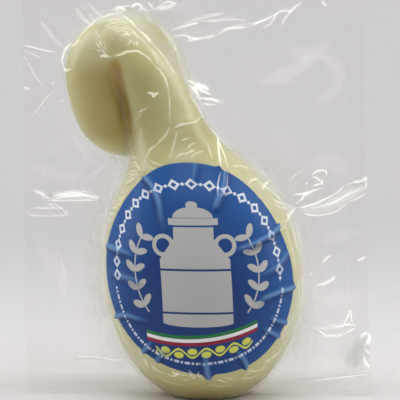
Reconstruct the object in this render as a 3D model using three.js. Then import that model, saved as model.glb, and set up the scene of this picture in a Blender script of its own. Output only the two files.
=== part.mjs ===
// A small pear-shaped caciocavallo, a stretched-curd cheese whose drawn-out neck is curled round into
// a head, sealed in a clear vacuum bag that clings to it, with a round label on the bag's front.
// Millimetres, +Z up, the front at -Y. The origin is on the floor under the middle of the bag's box.
import * as THREE from "three";

// Bag: a flat pouch, drawn in by the vacuum to this width and height round the cheese.
const BAG_WIDTH = 152;
const BAG_HEIGHT = 212;
const NARROWING = 5; // the right edge leans in by this much from the bottom to the top
const FILM_PAIR = 1.0; // the two films together, beside the cheese
const FILM_OFF_CHEESE = 0.35; // from the cheese to the bag's outer face
const BOX_SHIFT_Y = 0.31; // brings the middle of the whole box, label included, over the origin

// Body of the cheese: round level sections, each with its height, the x of its middle and its radius.
const BODY_DEPTH = 0.94; // front to back, as a share of the width
const BODY = [
  { z: 0, x: 4.1, r: 16.5 },
  { z: 3.5, x: 4.1, r: 21.6 },
  { z: 10, x: 3.8, r: 28.9 },
  { z: 22, x: 3.6, r: 37.0 },
  { z: 36, x: 3.3, r: 41.8 },
  { z: 52, x: 2.7, r: 43.7 },
  { z: 68, x: 1.5, r: 42.0 },
  { z: 86, x: 0.0, r: 35.9 },
  { z: 101, x: -3.8, r: 26.6 },
  { z: 111, x: -9.0, r: 19.8 },
  { z: 123, x: -14.0, r: 16.0 },
];

// Neck and head: one strand that leaves the body, bends over to the left, goes round behind the neck
// and curls over again at the back. Each station is the middle of the strand and its radius.
const STRAND_DEPTH = 0.96;
const STRAND = [
  { x: -12.4, y: 0, z: 117, r: 15.4 },
  { x: -15.2, y: -1, z: 124, r: 15.2 },
  { x: -18.0, y: -2.5, z: 132, r: 14.2 },
  { x: -23.0, y: -4, z: 140, r: 13.1 },
  { x: -29.0, y: -4.5, z: 147.2, r: 12.8 },
  { x: -36.0, y: -4, z: 152, r: 13.0 },
  { x: -42.6, y: -2, z: 147.8, r: 13.2 },
  { x: -44.2, y: 1, z: 138.5, r: 13.3 },
  { x: -42.2, y: 3.5, z: 129, r: 13.2 },
  { x: -38.8, y: 7, z: 121.6, r: 13.5 },
  { x: -32.6, y: 12, z: 117.8, r: 13.7 },
  { x: -25.0, y: 16, z: 119.0, r: 13.2 },
  { x: -19.0, y: 17, z: 127, r: 13.4 },
  { x: -18.9, y: 15.5, z: 136, r: 13.4 },
  { x: -21.6, y: 14, z: 145.2, r: 13.2 },
  { x: -26.8, y: 12.5, z: 151.9, r: 13.5 },
  { x: -33.0, y: 12, z: 152.4, r: 12.8 },
];
const STRAND_STEPS = 6; // samples of the strand from one station to the next

// Label: an oval as seen from the front, its middle, half sizes and the lean of its upright axis.
const LABEL_X = 0.8;
const LABEL_Z = 56.5;
const LABEL_HALF_WIDTH = 39.8;
const LABEL_HALF_HEIGHT = 45.4;
const LABEL_LEAN = -0.083;
const LABEL_THICK = 0.35;
const LABEL_OFF_BAG = 0.35;

// The bag's loose margins wave gently, more the further they are from the cheese. One corner curls forward.
// A wave's length is 2 pi times its up or across.
const WAVE_HEIGHT = 2.2;
const WAVE_FROM = 2; // distance from the cheese at which the wave begins, and at which it is full
const WAVE_FULL = 30;
const LONG_WAVE = { up: 17, across: 29, startUp: 0.6, startAcross: 0.9 };
const SHORT_WAVE = { up: 9.5, across: 14, share: 0.5 };
const CURL = 7;
const CURL_FROM_X = 45;
const CURL_TO_X = 76;
const CURL_UP_TO = 48; // height at which the corner's curl has died out

// Beside the cheese, the bag's lower edge lifts off the floor.
const LIFT_LEFT = 1.2;
const LIFT_RIGHT = 3.6;
const LIFT_FULL = 45; // distance from the cheese at which the lift is full
const LIFT_UP_TO = 30; // height at which the lift has died out
const HEAD_TOP = 168; // above it, the whole bag is margin

// How finely each surface is drawn.
const BAG_COLUMNS = 38;
const BAG_ROWS = 44;
const ROW_CROWDING = 1.12; // above 1, rows crowd towards the floor
const COLUMN_CROWDING = 1.25; // above 1, the margins' columns crowd towards the cheese
const WING_SHARE = 0.2; // of the columns, on each side of the cheese
const LABEL_RINGS = 8;
const LABEL_SPOKES = 36;
const FILM_PITCH = 2; // of the grid on which the film is stretched
const FILM_PASSES = 30; // each pass lets the film bridge a hollow a little further
const OUTLINE_BLUR = 5; // half the height over which the cheese's outline is evened, for the columns
const LEAST_HALF_WIDTH = 9; // of the columns' middle band, above the head
const NEAR = 8; // how sharply the films' meeting plane turns towards the nearest part of the cheese
const BODY_STEP = 6; // between the heights at which the body is weighed for that plane
const SLOPE_STEP = 1; // over which the label measures the slope of the film under it

const clamp = (value, low, high) => Math.min(Math.max(value, low), high);
const mix = (a, b, share) => a + (b - a) * share;
const smoothstep = (low, high, value) => {
  const t = clamp((value - low) / (high - low), 0, 1);
  return t * t * (3 - 2 * t);
};

// A smooth curve through the body's stations: cubic pieces, sloped by the stations on either side.
function bodyAt(z, key) {
  const last = BODY.length - 1;
  const slope = (i) => {
    const a = BODY[Math.max(i - 1, 0)];
    const b = BODY[Math.min(i + 1, last)];
    return (b[key] - a[key]) / (b.z - a.z);
  };
  const height = clamp(z, BODY[0].z, BODY[last].z);
  let i = 0;
  while (i < last - 1 && BODY[i + 1].z < height) i += 1;
  const span = BODY[i + 1].z - BODY[i].z;
  const t = (height - BODY[i].z) / span;
  const t2 = t * t;
  const t3 = t2 * t;
  return (
    (2 * t3 - 3 * t2 + 1) * BODY[i][key] +
    (t3 - 2 * t2 + t) * span * slope(i) +
    (3 * t2 - 2 * t3) * BODY[i + 1][key] +
    (t3 - t2) * span * slope(i + 1)
  );
}

// The strand as closely spaced balls along a smooth curve through its stations.
function strandBalls() {
  const middles = new THREE.CatmullRomCurve3(
    STRAND.map((s) => new THREE.Vector3(s.x, s.y, s.z)),
    false,
    "catmullrom",
  );
  const radii = new THREE.CatmullRomCurve3(
    STRAND.map((s) => new THREE.Vector3(s.r, 0, 0)),
    false,
    "catmullrom",
  );
  const steps = (STRAND.length - 1) * STRAND_STEPS;
  return Array.from({ length: steps + 1 }, (_, i) => {
    const middle = middles.getPoint(i / steps);
    return { x: middle.x, y: middle.y, z: middle.z, r: radii.getPoint(i / steps).x };
  });
}
const BALLS = strandBalls();
const BODY_TOP = BODY[BODY.length - 1].z;

// Front and back of the cheese at a place in the bag's plane: its least and greatest y, if any.
function cheeseAt(x, z) {
  let front = Infinity;
  let back = -Infinity;
  const take = (middle, half) => {
    front = Math.min(front, middle - half);
    back = Math.max(back, middle + half);
  };
  if (z >= 0 && z <= BODY_TOP) {
    const across = x - bodyAt(z, "x");
    const radius = bodyAt(z, "r");
    if (Math.abs(across) < radius) take(0, BODY_DEPTH * Math.sqrt(radius * radius - across * across));
  }
  for (const ball of BALLS) {
    const left = ball.r * ball.r - (x - ball.x) ** 2 - (z - ball.z) ** 2;
    if (left > 0) take(ball.y, STRAND_DEPTH * Math.sqrt(left));
  }
  return { front, back };
}

// The plane in which the two films meet, bent towards whichever part of the cheese is nearest.
function meetingPlane(x, z) {
  let weights = 0;
  let sum = 0;
  const weigh = (dx, dz, radius, y) => {
    const away = Math.max(Math.hypot(dx, dz) - radius, 0);
    const weight = 1 / (away * away + NEAR * NEAR) ** 2;
    weights += weight;
    sum += weight * y;
  };
  for (let height = 0; height < BODY_TOP; height += BODY_STEP)
    weigh(x - bodyAt(height, "x"), z - height, bodyAt(height, "r"), 0);
  for (const ball of BALLS) weigh(x - ball.x, z - ball.z, ball.r, ball.y);
  return sum / weights;
}

// How far the loose margins stand off the meeting plane, towards the back.
function marginWave(x, z, outside) {
  const upward = Math.sin(z / LONG_WAVE.up + LONG_WAVE.startUp);
  const across = Math.cos(x / LONG_WAVE.across + LONG_WAVE.startAcross);
  const short = Math.sin(z / SHORT_WAVE.up - x / SHORT_WAVE.across);
  const wave = WAVE_HEIGHT * (upward * across + SHORT_WAVE.share * short);
  const corner = smoothstep(CURL_FROM_X, CURL_TO_X, x) * (1 - smoothstep(0, CURL_UP_TO, z));
  return wave * smoothstep(WAVE_FROM, WAVE_FULL, outside) - CURL * corner;
}

// The cheese's outline, left and right, at every millimetre of height.
function outline() {
  const sides = [];
  for (let z = 0; z <= BAG_HEIGHT; z += 1) {
    let left = Infinity;
    let right = -Infinity;
    const take = (middle, half) => {
      left = Math.min(left, middle - half);
      right = Math.max(right, middle + half);
    };
    if (z <= BODY_TOP) take(bodyAt(z, "x"), bodyAt(z, "r"));
    for (const ball of BALLS) {
      const rest = ball.r * ball.r - (z - ball.z) ** 2;
      if (rest > 0) take(ball.x, Math.sqrt(rest));
    }
    const below = sides[z - 1];
    if (left > right) {
      left = below.middle;
      right = below.middle;
    }
    const middle = (left + right) / 2;
    const half = Math.max((right - left) / 2, LEAST_HALF_WIDTH);
    sides.push({ middle, half });
  }
  return sides.map((_, z) => {
    const near = sides.slice(Math.max(z - OUTLINE_BLUR, 0), z + OUTLINE_BLUR + 1);
    const mean = (key) => near.reduce((sum, side) => sum + side[key], 0) / near.length;
    return { middle: mean("middle"), half: mean("half") };
  });
}
const OUTLINE = outline();
function outlineAt(z) {
  const height = clamp(z, 0, OUTLINE.length - 1.001);
  const i = Math.floor(height);
  const share = height - i;
  return {
    middle: mix(OUTLINE[i].middle, OUTLINE[i + 1].middle, share),
    half: mix(OUTLINE[i].half, OUTLINE[i + 1].half, share),
  };
}

// How far each film stands from the meeting plane. It starts on the cheese and is then drawn taut a little
// way over each hollow: every pass takes the mean of the neighbours, but never less than the cheese itself.
function stretchedFilm() {
  const columns = Math.ceil(BAG_WIDTH / FILM_PITCH) + 1;
  const rows = Math.ceil(BAG_HEIGHT / FILM_PITCH) + 1;
  const make = (side) => {
    const floor = new Float64Array(columns * rows);
    for (let j = 0; j < rows; j += 1)
      for (let i = 0; i < columns; i += 1)
        floor[j * columns + i] = offPlane(i * FILM_PITCH - BAG_WIDTH / 2, j * FILM_PITCH, side);
    let film = floor.slice();
    for (let pass = 0; pass < FILM_PASSES; pass += 1) {
      const next = film.slice();
      for (let j = 1; j < rows; j += 1)
        for (let i = 1; i < columns - 1; i += 1) {
          const at = j * columns + i;
          const below = film[(j - 1) * columns + i];
          const above = film[Math.min(j + 1, rows - 1) * columns + i];
          const mean = (film[at - 1] + film[at + 1] + below + above) / 4;
          next[at] = Math.max(floor[at], mean);
        }
      film = next;
    }
    return film;
  };
  return { columns, rows, front: make(-1), back: make(1) };
}

// The cheese's own distance from the meeting plane, on the front (-1) or the back (1), and the film's gap.
function offPlane(x, z, side) {
  const { front, back } = cheeseAt(x, z);
  if (front > back) return 0;
  const plane = meetingPlane(x, z);
  const reach = side < 0 ? plane - front : back - plane;
  return Math.max(reach + FILM_OFF_CHEESE, 0);
}

const FILM = stretchedFilm();
function filmAt(x, z, side) {
  const film = side < 0 ? FILM.front : FILM.back;
  const across = clamp((x + BAG_WIDTH / 2) / FILM_PITCH, 0, FILM.columns - 1.001);
  const up = clamp(z / FILM_PITCH, 0, FILM.rows - 1.001);
  const i = Math.floor(across);
  const j = Math.floor(up);
  const row = (at) => mix(film[at * FILM.columns + i], film[at * FILM.columns + i + 1], across - i);
  return Math.max(mix(row(j), row(j + 1), up - j), FILM_PAIR / 2);
}

// A point of the bag's surface: u across and v up, each from 0 to 1, on the front or the back.
// The columns crowd together where the cheese's sides turn away.
function bagPoint(u, v, side) {
  const height = BAG_HEIGHT * v ** ROW_CROWDING;
  const { middle, half } = outlineAt(height);
  const left = -BAG_WIDTH / 2;
  const right = BAG_WIDTH / 2 - NARROWING * v;
  const intoMargin = (Math.abs(u - 0.5) - 0.5 + WING_SHARE) / WING_SHARE;
  const overCheese = (u - 0.5) / (0.5 - WING_SHARE);
  let x = middle + half * Math.sin((overCheese * Math.PI) / 2);
  if (intoMargin > 0) {
    const cheeseSide = u < 0.5 ? middle - half : middle + half;
    x = mix(cheeseSide, u < 0.5 ? left : right, intoMargin ** COLUMN_CROWDING);
  }
  const outside = Math.max(Math.abs(x - middle) - half, height - HEAD_TOP, 0);
  const lift = (x < middle ? LIFT_LEFT : LIFT_RIGHT) * smoothstep(WAVE_FROM, LIFT_FULL, outside);
  const z = height + lift * (1 - smoothstep(0, LIFT_UP_TO, height));
  const y = meetingPlane(x, height) + marginWave(x, height, outside) + side * filmAt(x, height, side);
  return new THREE.Vector3(x, y, z);
}

// Moves every vertex of a geometry to where a function of its old place says.
function reshape(geometry, place) {
  const position = geometry.getAttribute("position");
  const from = new THREE.Vector3();
  for (let i = 0; i < position.count; i += 1) {
    const to = place(from.fromBufferAttribute(position, i));
    position.setXYZ(i, to.x, to.y, to.z);
  }
  geometry.deleteAttribute("uv");
  geometry.computeVertexNormals();
  return geometry;
}

// The sealed bag with the cheese in it: a thin box whose front and back swell over the cheese.
function sealedBag() {
  const box = new THREE.BoxGeometry(1, 1, 1, BAG_COLUMNS, 1, BAG_ROWS);
  const clear = new THREE.MeshStandardMaterial({ color: 0xd9d6b8, roughness: 0.25, metalness: 0 });
  const mesh = new THREE.Mesh(reshape(box, (p) => bagPoint(p.x + 0.5, p.z + 0.5, Math.sign(p.y))), clear);
  mesh.name = "sealed_bag";
  return mesh;
}

// A point of the label: its distance from the label's middle as a share of the rim's, its angle, and how
// far it stands off the bag, whose clinging front it follows.
function labelPoint(share, angle, off) {
  const z = LABEL_Z + LABEL_HALF_HEIGHT * share * Math.sin(angle);
  const x = LABEL_X + LABEL_LEAN * (z - LABEL_Z) + LABEL_HALF_WIDTH * share * Math.cos(angle);
  const front = (across, up) => meetingPlane(across, up) - filmAt(across, up, -1);
  const slopeX = (front(x + SLOPE_STEP, z) - front(x - SLOPE_STEP, z)) / (2 * SLOPE_STEP);
  const slopeZ = (front(x, z + SLOPE_STEP) - front(x, z - SLOPE_STEP)) / (2 * SLOPE_STEP);
  const outward = new THREE.Vector3(slopeX, -1, slopeZ).normalize();
  return new THREE.Vector3(x, front(x, z), z).addScaledVector(outward, off);
}

// The label: a thin disc, turned from its half section and then laid on the bag's front.
function label() {
  const quarter = Math.PI / 2;
  const rings = Array.from({ length: LABEL_RINGS + 1 }, (_, i) => Math.sin((i / LABEL_RINGS) * quarter));
  const inner = rings.map((r) => new THREE.Vector2(r, 0));
  const outer = rings.map((r) => new THREE.Vector2(r, 1)).reverse();
  const disc = new THREE.LatheGeometry([...inner, ...outer], LABEL_SPOKES);
  const blue = new THREE.MeshStandardMaterial({ color: 0x2c4f96, roughness: 0.35, metalness: 0 });
  const place = (p) =>
    labelPoint(Math.hypot(p.x, p.z), Math.atan2(-p.z, p.x), LABEL_OFF_BAG + LABEL_THICK * p.y);
  const mesh = new THREE.Mesh(reshape(disc, place), blue);
  mesh.name = "label";
  return mesh;
}

const caciocavallo = new THREE.Group();
caciocavallo.add(sealedBag(), label());
caciocavallo.position.y = BOX_SHIFT_Y;

export default caciocavallo;
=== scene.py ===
"""The looks of a small caciocavallo in its vacuum bag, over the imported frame.

The cheese is a pear-shaped body whose neck is drawn out, bent over and curled round behind itself. Two
clear films cling to it, front and back, and meet in flat margins round it, with folds and pleats where they
had too much film. A round printed label sticks to the front film and creases with it.

Shape functions work in millimetres, in the frame's own axes: x to the right, z up, and the front at -y.
"""

import math

import bpy
import numpy as np
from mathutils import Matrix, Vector


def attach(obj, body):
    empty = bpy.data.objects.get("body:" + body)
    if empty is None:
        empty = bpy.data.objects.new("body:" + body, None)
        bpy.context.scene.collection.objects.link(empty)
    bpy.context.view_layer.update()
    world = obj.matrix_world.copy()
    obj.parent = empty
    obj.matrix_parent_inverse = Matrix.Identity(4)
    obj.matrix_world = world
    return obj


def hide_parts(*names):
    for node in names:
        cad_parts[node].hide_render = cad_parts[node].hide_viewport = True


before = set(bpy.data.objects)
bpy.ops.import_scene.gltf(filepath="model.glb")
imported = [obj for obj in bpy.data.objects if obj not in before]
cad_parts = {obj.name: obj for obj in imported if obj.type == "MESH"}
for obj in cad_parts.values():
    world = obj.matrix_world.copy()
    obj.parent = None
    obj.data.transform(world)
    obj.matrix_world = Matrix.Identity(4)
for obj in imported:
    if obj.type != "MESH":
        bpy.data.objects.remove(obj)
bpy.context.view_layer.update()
MM = 0.001
ROOT = "root"
FAR = 1e9  # farther away than anything
UV_SPAN = 100.0  # millimetres to one unit of a uv

# ---- Curves, grids and meshes ----


def smoothstep(low, high, value):
    """0 up to the low value, 1 from the high one on, and the cubic 3t^2 - 2t^3 between them."""
    t = np.clip((value - low) / (high - low), 0, 1)
    return t * t * (3 - 2 * t)


def bell(away, width):
    """1 at no distance, and falling off as exp(-(away / width)^2)."""
    return np.exp(-((away / width) ** 2))


def faded(share, full_from, full_to):
    """0 at both ends of a path and 1 between two shares of its length."""
    return smoothstep(0, full_from, share) * (1 - smoothstep(full_to, 1.0, share))


def unit(vectors):
    """The vectors along the last axis, each brought to a length of 1."""
    return vectors / np.linalg.norm(vectors, axis=-1)[..., None]


def traced(text):
    """Rows written as text, one to a line: a path's places as x,z, a bar, and the row's own numbers. A line
    that starts with # says what the rows below it are."""
    rows = []
    for line in text.strip().splitlines():
        if line.startswith("#"):
            continue
        path, numbers = line.split("|")
        places = np.array([place.split(",") for place in path.split()], dtype=float)
        rows.append((places, *map(float, numbers.split())))
    return rows


def through(points, steps):
    """A uniform Catmull-Rom curve through the points, with that many samples from each one to the next."""
    first = 2 * points[0] - points[1]
    last = 2 * points[-1] - points[-2]
    padded = np.vstack([first, points, last])
    at = np.linspace(0, len(points) - 1, (len(points) - 1) * steps + 1)
    piece = np.minimum(at.astype(int), len(points) - 2)
    t = (at - piece)[:, None]
    p0, p1, p2, p3 = (padded[piece + k] for k in range(4))
    return 0.5 * (
        2 * p1 + (p2 - p0) * t + (2 * p0 - 5 * p1 + 4 * p2 - p3) * t**2 + (3 * p1 - p0 - 3 * p2 + p3) * t**3
    )


def beside(path, x, z):
    """For each place, in the bag's plane: its distance from a polyline, the share of the polyline's length
    at the nearest point, and the distance with a sign, above a level path or to the left of an upright
    one."""
    best = np.full(x.shape, FAR)
    share = np.zeros(x.shape)
    side = np.zeros(x.shape)
    steps = np.hypot(*np.diff(path, axis=0).T)
    ends = np.concatenate([[0.0], np.cumsum(steps)])
    for k, step in enumerate(steps):
        (ax, az), (bx, bz) = path[k], path[k + 1]
        t = np.clip(((x - ax) * (bx - ax) + (z - az) * (bz - az)) / step**2, 0, 1)
        off_x, off_z = x - ax - t * (bx - ax), z - az - t * (bz - az)
        away = np.hypot(off_x, off_z)
        nearer = away < best
        best = np.where(nearer, away, best)
        share = np.where(nearer, (ends[k] + t * step) / ends[-1], share)
        turned = 1 if bx > ax else -1
        side = np.where(nearer, np.sign(off_z * (bx - ax) - off_x * (bz - az)) * turned * away, side)
    return best, share, side


def distance_along(path, x, z):
    """The distance from a polyline and the share of its length at the nearest point."""
    return beside(path, x, z)[:2]


def grid_faces(rows, columns, closed):
    """Quads between neighbouring rows and columns of a grid of vertices; closed joins the last column to
    the first."""
    row = np.arange(rows - 1)[:, None] * columns
    across = np.arange(columns if closed else columns - 1)[None, :]
    right = (across + 1) % columns
    corners = [row + across, row + right, row + columns + right, row + columns + across]
    return np.stack(corners, axis=-1).reshape(-1, 4)


def full_turn(steps):
    """Angles once round, evenly spaced."""
    return np.linspace(0, 2 * math.pi, steps, endpoint=False)


def into_scene(name, data):
    """An object with that data, at the origin of the scene."""
    thing = bpy.data.objects.new(name, data)
    bpy.context.scene.collection.objects.link(thing)
    return thing


def give_attribute(mesh, name, values):
    """One float for every vertex, for the material to read by name."""
    layer = mesh.attributes.new(name, "FLOAT", "POINT")
    layer.data.foreach_set("value", values.astype(np.float32).ravel())


def mesh_object(name, points, faces, uv=None, attributes=None):
    """A smooth-shaded object from vertices in millimetres, with an optional uv and float attributes per
    vertex."""
    mesh = bpy.data.meshes.new(name)
    mesh.from_pydata((points * MM).tolist(), [], faces.tolist())
    mesh.polygons.foreach_set("use_smooth", np.ones(len(mesh.polygons), dtype=bool))
    if uv is not None:
        corners = np.empty(len(mesh.loops), dtype=np.int32)
        mesh.loops.foreach_get("vertex_index", corners)
        mesh.uv_layers.new(name="flat").data.foreach_set("uv", uv[corners].astype(np.float32).ravel())
    for key, values in (attributes or {}).items():
        give_attribute(mesh, key, values)
    mesh.update()
    return into_scene(name, mesh)


# ---- The cheese ----

SHIFT_Y = 0.31  # of the whole, so that the middle of its box is over the origin
BODY_DEPTH = 0.94  # front to back, as a share of the width
BODY = np.array([  # height, x of the middle, radius
    (0, 4.1, 16.5), (3.5, 4.1, 21.6), (10, 3.8, 28.9), (22, 3.6, 37.0), (36, 3.3, 41.8), (52, 2.7, 43.7),
    (68, 1.5, 42.0), (86, 0.0, 35.9), (101, -3.8, 26.6), (111, -9.0, 19.8), (123, -14.0, 16.0),
])
BODY_TOP = BODY[-1, 0]
STRAND_DEPTH = 0.96
STRAND = np.array([  # x, y, z of the middle, radius: up the neck, over, down at the left and round behind
    (-12.4, 0, 117, 15.4), (-15.2, -1, 124, 15.2), (-18.0, -2.5, 132, 14.2), (-23.0, -4, 140, 13.1),
    (-29.0, -4.5, 147.2, 12.8), (-36.0, -4, 152.0, 13.0), (-42.6, -2, 147.8, 13.2), (-44.2, 1, 138.5, 13.3),
    (-42.2, 3.5, 129, 13.2), (-38.8, 7, 121.6, 13.5), (-32.6, 12, 117.8, 13.7), (-25.0, 16, 119.0, 13.2),
    (-19.0, 17, 127, 13.4), (-18.9, 15.5, 136, 13.4), (-21.6, 14, 145.2, 13.2), (-26.8, 12.5, 151.9, 13.5),
    (-33.0, 12, 152.4, 12.8),
])
STRAND_BALLS = through(STRAND, 8)
SKIN = 0.3  # the cheese stays this far inside the shape that the film clings to
VOXEL = 0.85
EASING = 5  # passes that smooth the fused skin

# Hollows that the cheesemaker's fold leaves in the front of the head: path | half width, depth.
HEAD_VALLEYS = traced("""
-35.5,150 -35.5,147.5 -34.5,143.5 -33.5,138.5 -31.5,129.5 -30.5,119 | 2.6 0.9
-33.5,148.5 -36,154 -40,159.5 -43,163 | 3 1.7
-10.9,117.2 -5.7,118.4 -0.9,119.6 | 1.3 0.6
""")
VALLEY_FACING = 1.5  # a hollow is full where the skin faces the front by 1 / this or more
# Painted shade, browner and darker, in the fold between the head's left side and the neck and over the
# left lobe beside it: path from top to bottom | half widths to the left and to the right, strength.
PAINTED_SHADE_FOLDS = traced("""
-35.5,149 -34.5,144 -32.5,134 -30.5,124 -29,106 | 19 1.6 0.97
-35.8,152 -34.6,145 -33.3,138.5 -31.5,129.5 -30,120 -29,109 | 3 3.4 0.5
-38.5,164 -37.5,159 -36,154 -35,149 | 2.6 5 0.3
-35.4,149 -34.1,141.3 -33.3,137.8 -32.6,133 -32,127 | 2.6 2.2 0.6
-33,134 -31.8,126 -31.2,118 -30,108 | 5 2 -0.2
""")
# Where it is in the shade of a neighbour but as green as the rest, in the same way.
SHADED_FOLDS = traced("""
-28,166 -20.5,157.5 -15.5,152 -11.5,147 -5.5,138 | 0.9 3.5 0.5
-4,124 -4,112 -3,96 | 9 12 0.8
-27,150 -24.5,135 -22.5,118 -24,104 -27,94 -31,82 | 7 8.5 0.75
""")
FOLDS_BACK = 12.0  # folds tint only what is in front of this depth
FOOT_PAINTED_SHADE = 0.7  # painted shade at the foot too, browner and darker, up to this height
FOOT_HIGH = 17.0


def body_at(height):
    """Middle x and radius of the body at each height: cubic Hermite pieces, sloped by each station's
    neighbours."""
    knots = BODY[:, 0]
    height = np.clip(height, knots[0], knots[-1])
    before = np.maximum(np.arange(len(knots)) - 1, 0)
    after = np.minimum(np.arange(len(knots)) + 1, len(knots) - 1)
    piece = np.clip(np.searchsorted(knots, height, side="right") - 1, 0, len(knots) - 2)
    span = knots[piece + 1] - knots[piece]
    t = (height - knots[piece]) / span
    values = []
    for known in (BODY[:, 1], BODY[:, 2]):
        slope = (known[after] - known[before]) / (knots[after] - knots[before])
        values.append(
            (2 * t**3 - 3 * t**2 + 1) * known[piece]
            + (t**3 - 2 * t**2 + t) * span * slope[piece]
            + (3 * t**2 - 2 * t**3) * known[piece + 1]
            + (t**3 - t**2) * span * slope[piece + 1]
        )
    return values


def body_surface(columns=120, rows=110):
    """The body: level ellipses, radius by height, with their first and last rings drawn in to a point."""
    height = np.linspace(0.0, BODY_TOP, rows)
    middle, radius = body_at(height)
    height = np.concatenate([[SKIN], np.maximum(height, SKIN), [BODY_TOP]])
    middle = np.concatenate([middle[:1], middle, middle[-1:]])
    radius = np.concatenate([[0.0], radius - SKIN, [0.0]])
    turn = full_turn(columns)[None, :]
    x = middle[:, None] + radius[:, None] * np.cos(turn)
    y = BODY_DEPTH * radius[:, None] * np.sin(turn) + SHIFT_Y
    z = np.broadcast_to(height[:, None], x.shape)
    return np.stack([x, y, z], axis=-1).reshape(-1, 3), grid_faces(rows + 2, columns, True)


def strand_surface(columns=72, cap_rows=10):
    """The neck and head: a round section carried along the strand's curve, its ends closed by half
    balls."""
    middle = STRAND_BALLS[:, :3]
    radius = STRAND_BALLS[:, 3] - SKIN
    ahead = unit(np.gradient(middle, axis=0))
    cap = np.linspace(0, math.pi / 2, cap_rows + 1)[1:]
    start = middle[0] - np.outer(np.sin(cap[::-1]) * radius[0], ahead[0])
    end = middle[-1] + np.outer(np.sin(cap) * radius[-1], ahead[-1])
    middle = np.vstack([start, middle, end])
    ahead = np.vstack([np.repeat(ahead[:1], cap_rows, 0), ahead, np.repeat(ahead[-1:], cap_rows, 0)])
    radius = np.concatenate([np.cos(cap[::-1]) * radius[0], radius, np.cos(cap) * radius[-1]])
    depthwise = unit(np.array([0.0, 1.0, 0.0]) - ahead[:, 1:2] * ahead)
    sideways = np.cross(ahead, depthwise)
    turn = full_turn(columns)[None, :, None]
    ring = np.cos(turn) * sideways[:, None, :] + np.sin(turn) * depthwise[:, None, :] * STRAND_DEPTH
    points = middle[:, None, :] + radius[:, None, None] * ring
    points[..., 1] += SHIFT_Y
    return points.reshape(-1, 3), grid_faces(len(middle), columns, True)


def fold_tint(folds, x, z):
    """How strongly each place is tinted: a bell across each fold, wider on one side, that fades out at its
    ends."""
    tint = np.zeros(len(x))
    for path, left, right, strength in folds:
        heights = path[:, 1]
        away = x - np.interp(-z, -heights, path[:, 0])
        share = (heights[0] - z) / (heights[0] - heights[-1])
        tint += strength * faded(share, 0.22, 0.75) * bell(away, np.where(away < 0, left, right))
    return tint


def fused_skin():
    """Body and strand fused into one skin by voxels, and smoothed where they meet."""
    body_points, body_faces = body_surface()
    strand_points, strand_faces = strand_surface()
    points = np.vstack([body_points, strand_points])
    faces = np.vstack([body_faces, strand_faces + len(body_points)])
    rough = mesh_object("cheese_rough", points, faces)
    fuse = rough.modifiers.new("fuse", "REMESH")
    fuse.mode = "VOXEL"
    fuse.voxel_size = VOXEL * MM
    fuse.use_smooth_shade = True
    ease = rough.modifiers.new("ease", "SMOOTH")
    ease.factor = 0.5
    ease.iterations = EASING
    view = bpy.context.evaluated_depsgraph_get()
    fused = bpy.data.meshes.new_from_object(rough.evaluated_get(view))
    fused.name = "cheese"
    bpy.data.objects.remove(rough)
    return fused


def make_cheese():
    """The fused skin with the head's hollows pressed in: each vertex moves against its normal, by a bell
    across the hollow's path. The folds' painted shade rides along as attributes."""
    skin = fused_skin()
    place = np.empty(len(skin.vertices) * 3, dtype=np.float32)
    normal = np.empty_like(place)
    skin.vertices.foreach_get("co", place)
    skin.vertices.foreach_get("normal", normal)
    place = place.reshape(-1, 3).astype(float)
    normal = normal.reshape(-1, 3)
    x, z = place[:, 0] / MM, place[:, 2] / MM
    facing = np.clip(-normal[:, 1] * VALLEY_FACING, 0, 1)
    for path, width, depth in HEAD_VALLEYS:
        away, share = distance_along(through(path, 6), x, z)
        pressed = depth * faded(share, 0.12, 0.85) * bell(away, width) * facing
        place -= normal * (pressed * MM)[:, None]
    skin.vertices.foreach_set("co", place.astype(np.float32).ravel())
    skin.polygons.foreach_set("use_smooth", np.ones(len(skin.polygons), dtype=bool))
    in_front = place[:, 1] < FOLDS_BACK * MM
    # Painted shade at the foot, fading out upwards.
    foot = FOOT_PAINTED_SHADE * (1 - smoothstep(0, FOOT_HIGH, z))
    # Painted shade rides along as attributes: browner in the folds and at the foot, duller green where a
    # neighbour shades.
    give_attribute(skin, "painted_brown_shade", fold_tint(PAINTED_SHADE_FOLDS, x, z) * in_front + foot)
    give_attribute(skin, "shade", fold_tint(SHADED_FOLDS, x, z) * in_front)
    skin.update()
    return into_scene("cheese", skin)


# ---- The films ----

BAG_LEFT = -76.0
BAG_RIGHT = 76.0
BAG_TOP = 212.0
NARROWING = 5.0  # the right edge leans in by this much from the bottom to the top
SEAL = 8.0  # width of the welded band along the edges
SEAL_EDGE = 0.6  # over which it begins
FIELD_PITCH = 0.5
FILM_GAP = 0.25  # between the shape clung to and the film
MARGIN_GAP = 0.12  # from each film to the plane where the two meet
FILM_PULL = 0.8  # how hard the vacuum bends the film into a hollow, per mm
FILM_PASSES = 320
PLANE_SOFT = 8.0  # how far round itself a part of the cheese sets the plane where the films meet
PLANE_STEP = 6.0  # between the heights of the body that count for it
OUTLINE_STEP = 3.0  # between those that count for the distance from the outline
WAVE_HIGH = 2.2  # of the loose margins
CORNER_CURL = 7.0
FOLD_TIP = 0.2  # share of its width that a margin's fold keeps at its ends
FULL_TONE = 2.4  # a pleat this high or higher has its painted light and shade in full
LOOSE_LIFTS = (0.4, 3.0)  # lifts between which the film goes from loose, and free to wave, to clinging
CLING_LIFTS = (0.6, 3.0)  # lifts between which its finish turns to that of clinging film
DENT_LIMIT = 0.18  # dents between pleats go in no deeper
PLEAT_GAIN = 1.7  # pleats stand at most this much higher where the film is steep
PUCKER_REACH = 4  # a pucker is worked out this far round itself
PUCKER_HEIGHTS = (4, 168)
PUCKER_STARTS = (0.5, 3)  # from the cheese's outline
PUCKER_LEAN = 0.45
PUCKERS_LEVEL = 70  # puckers at this height run level on the whole
PUCKERS_FAN = 220  # and lean up by a radian more this much higher
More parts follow.
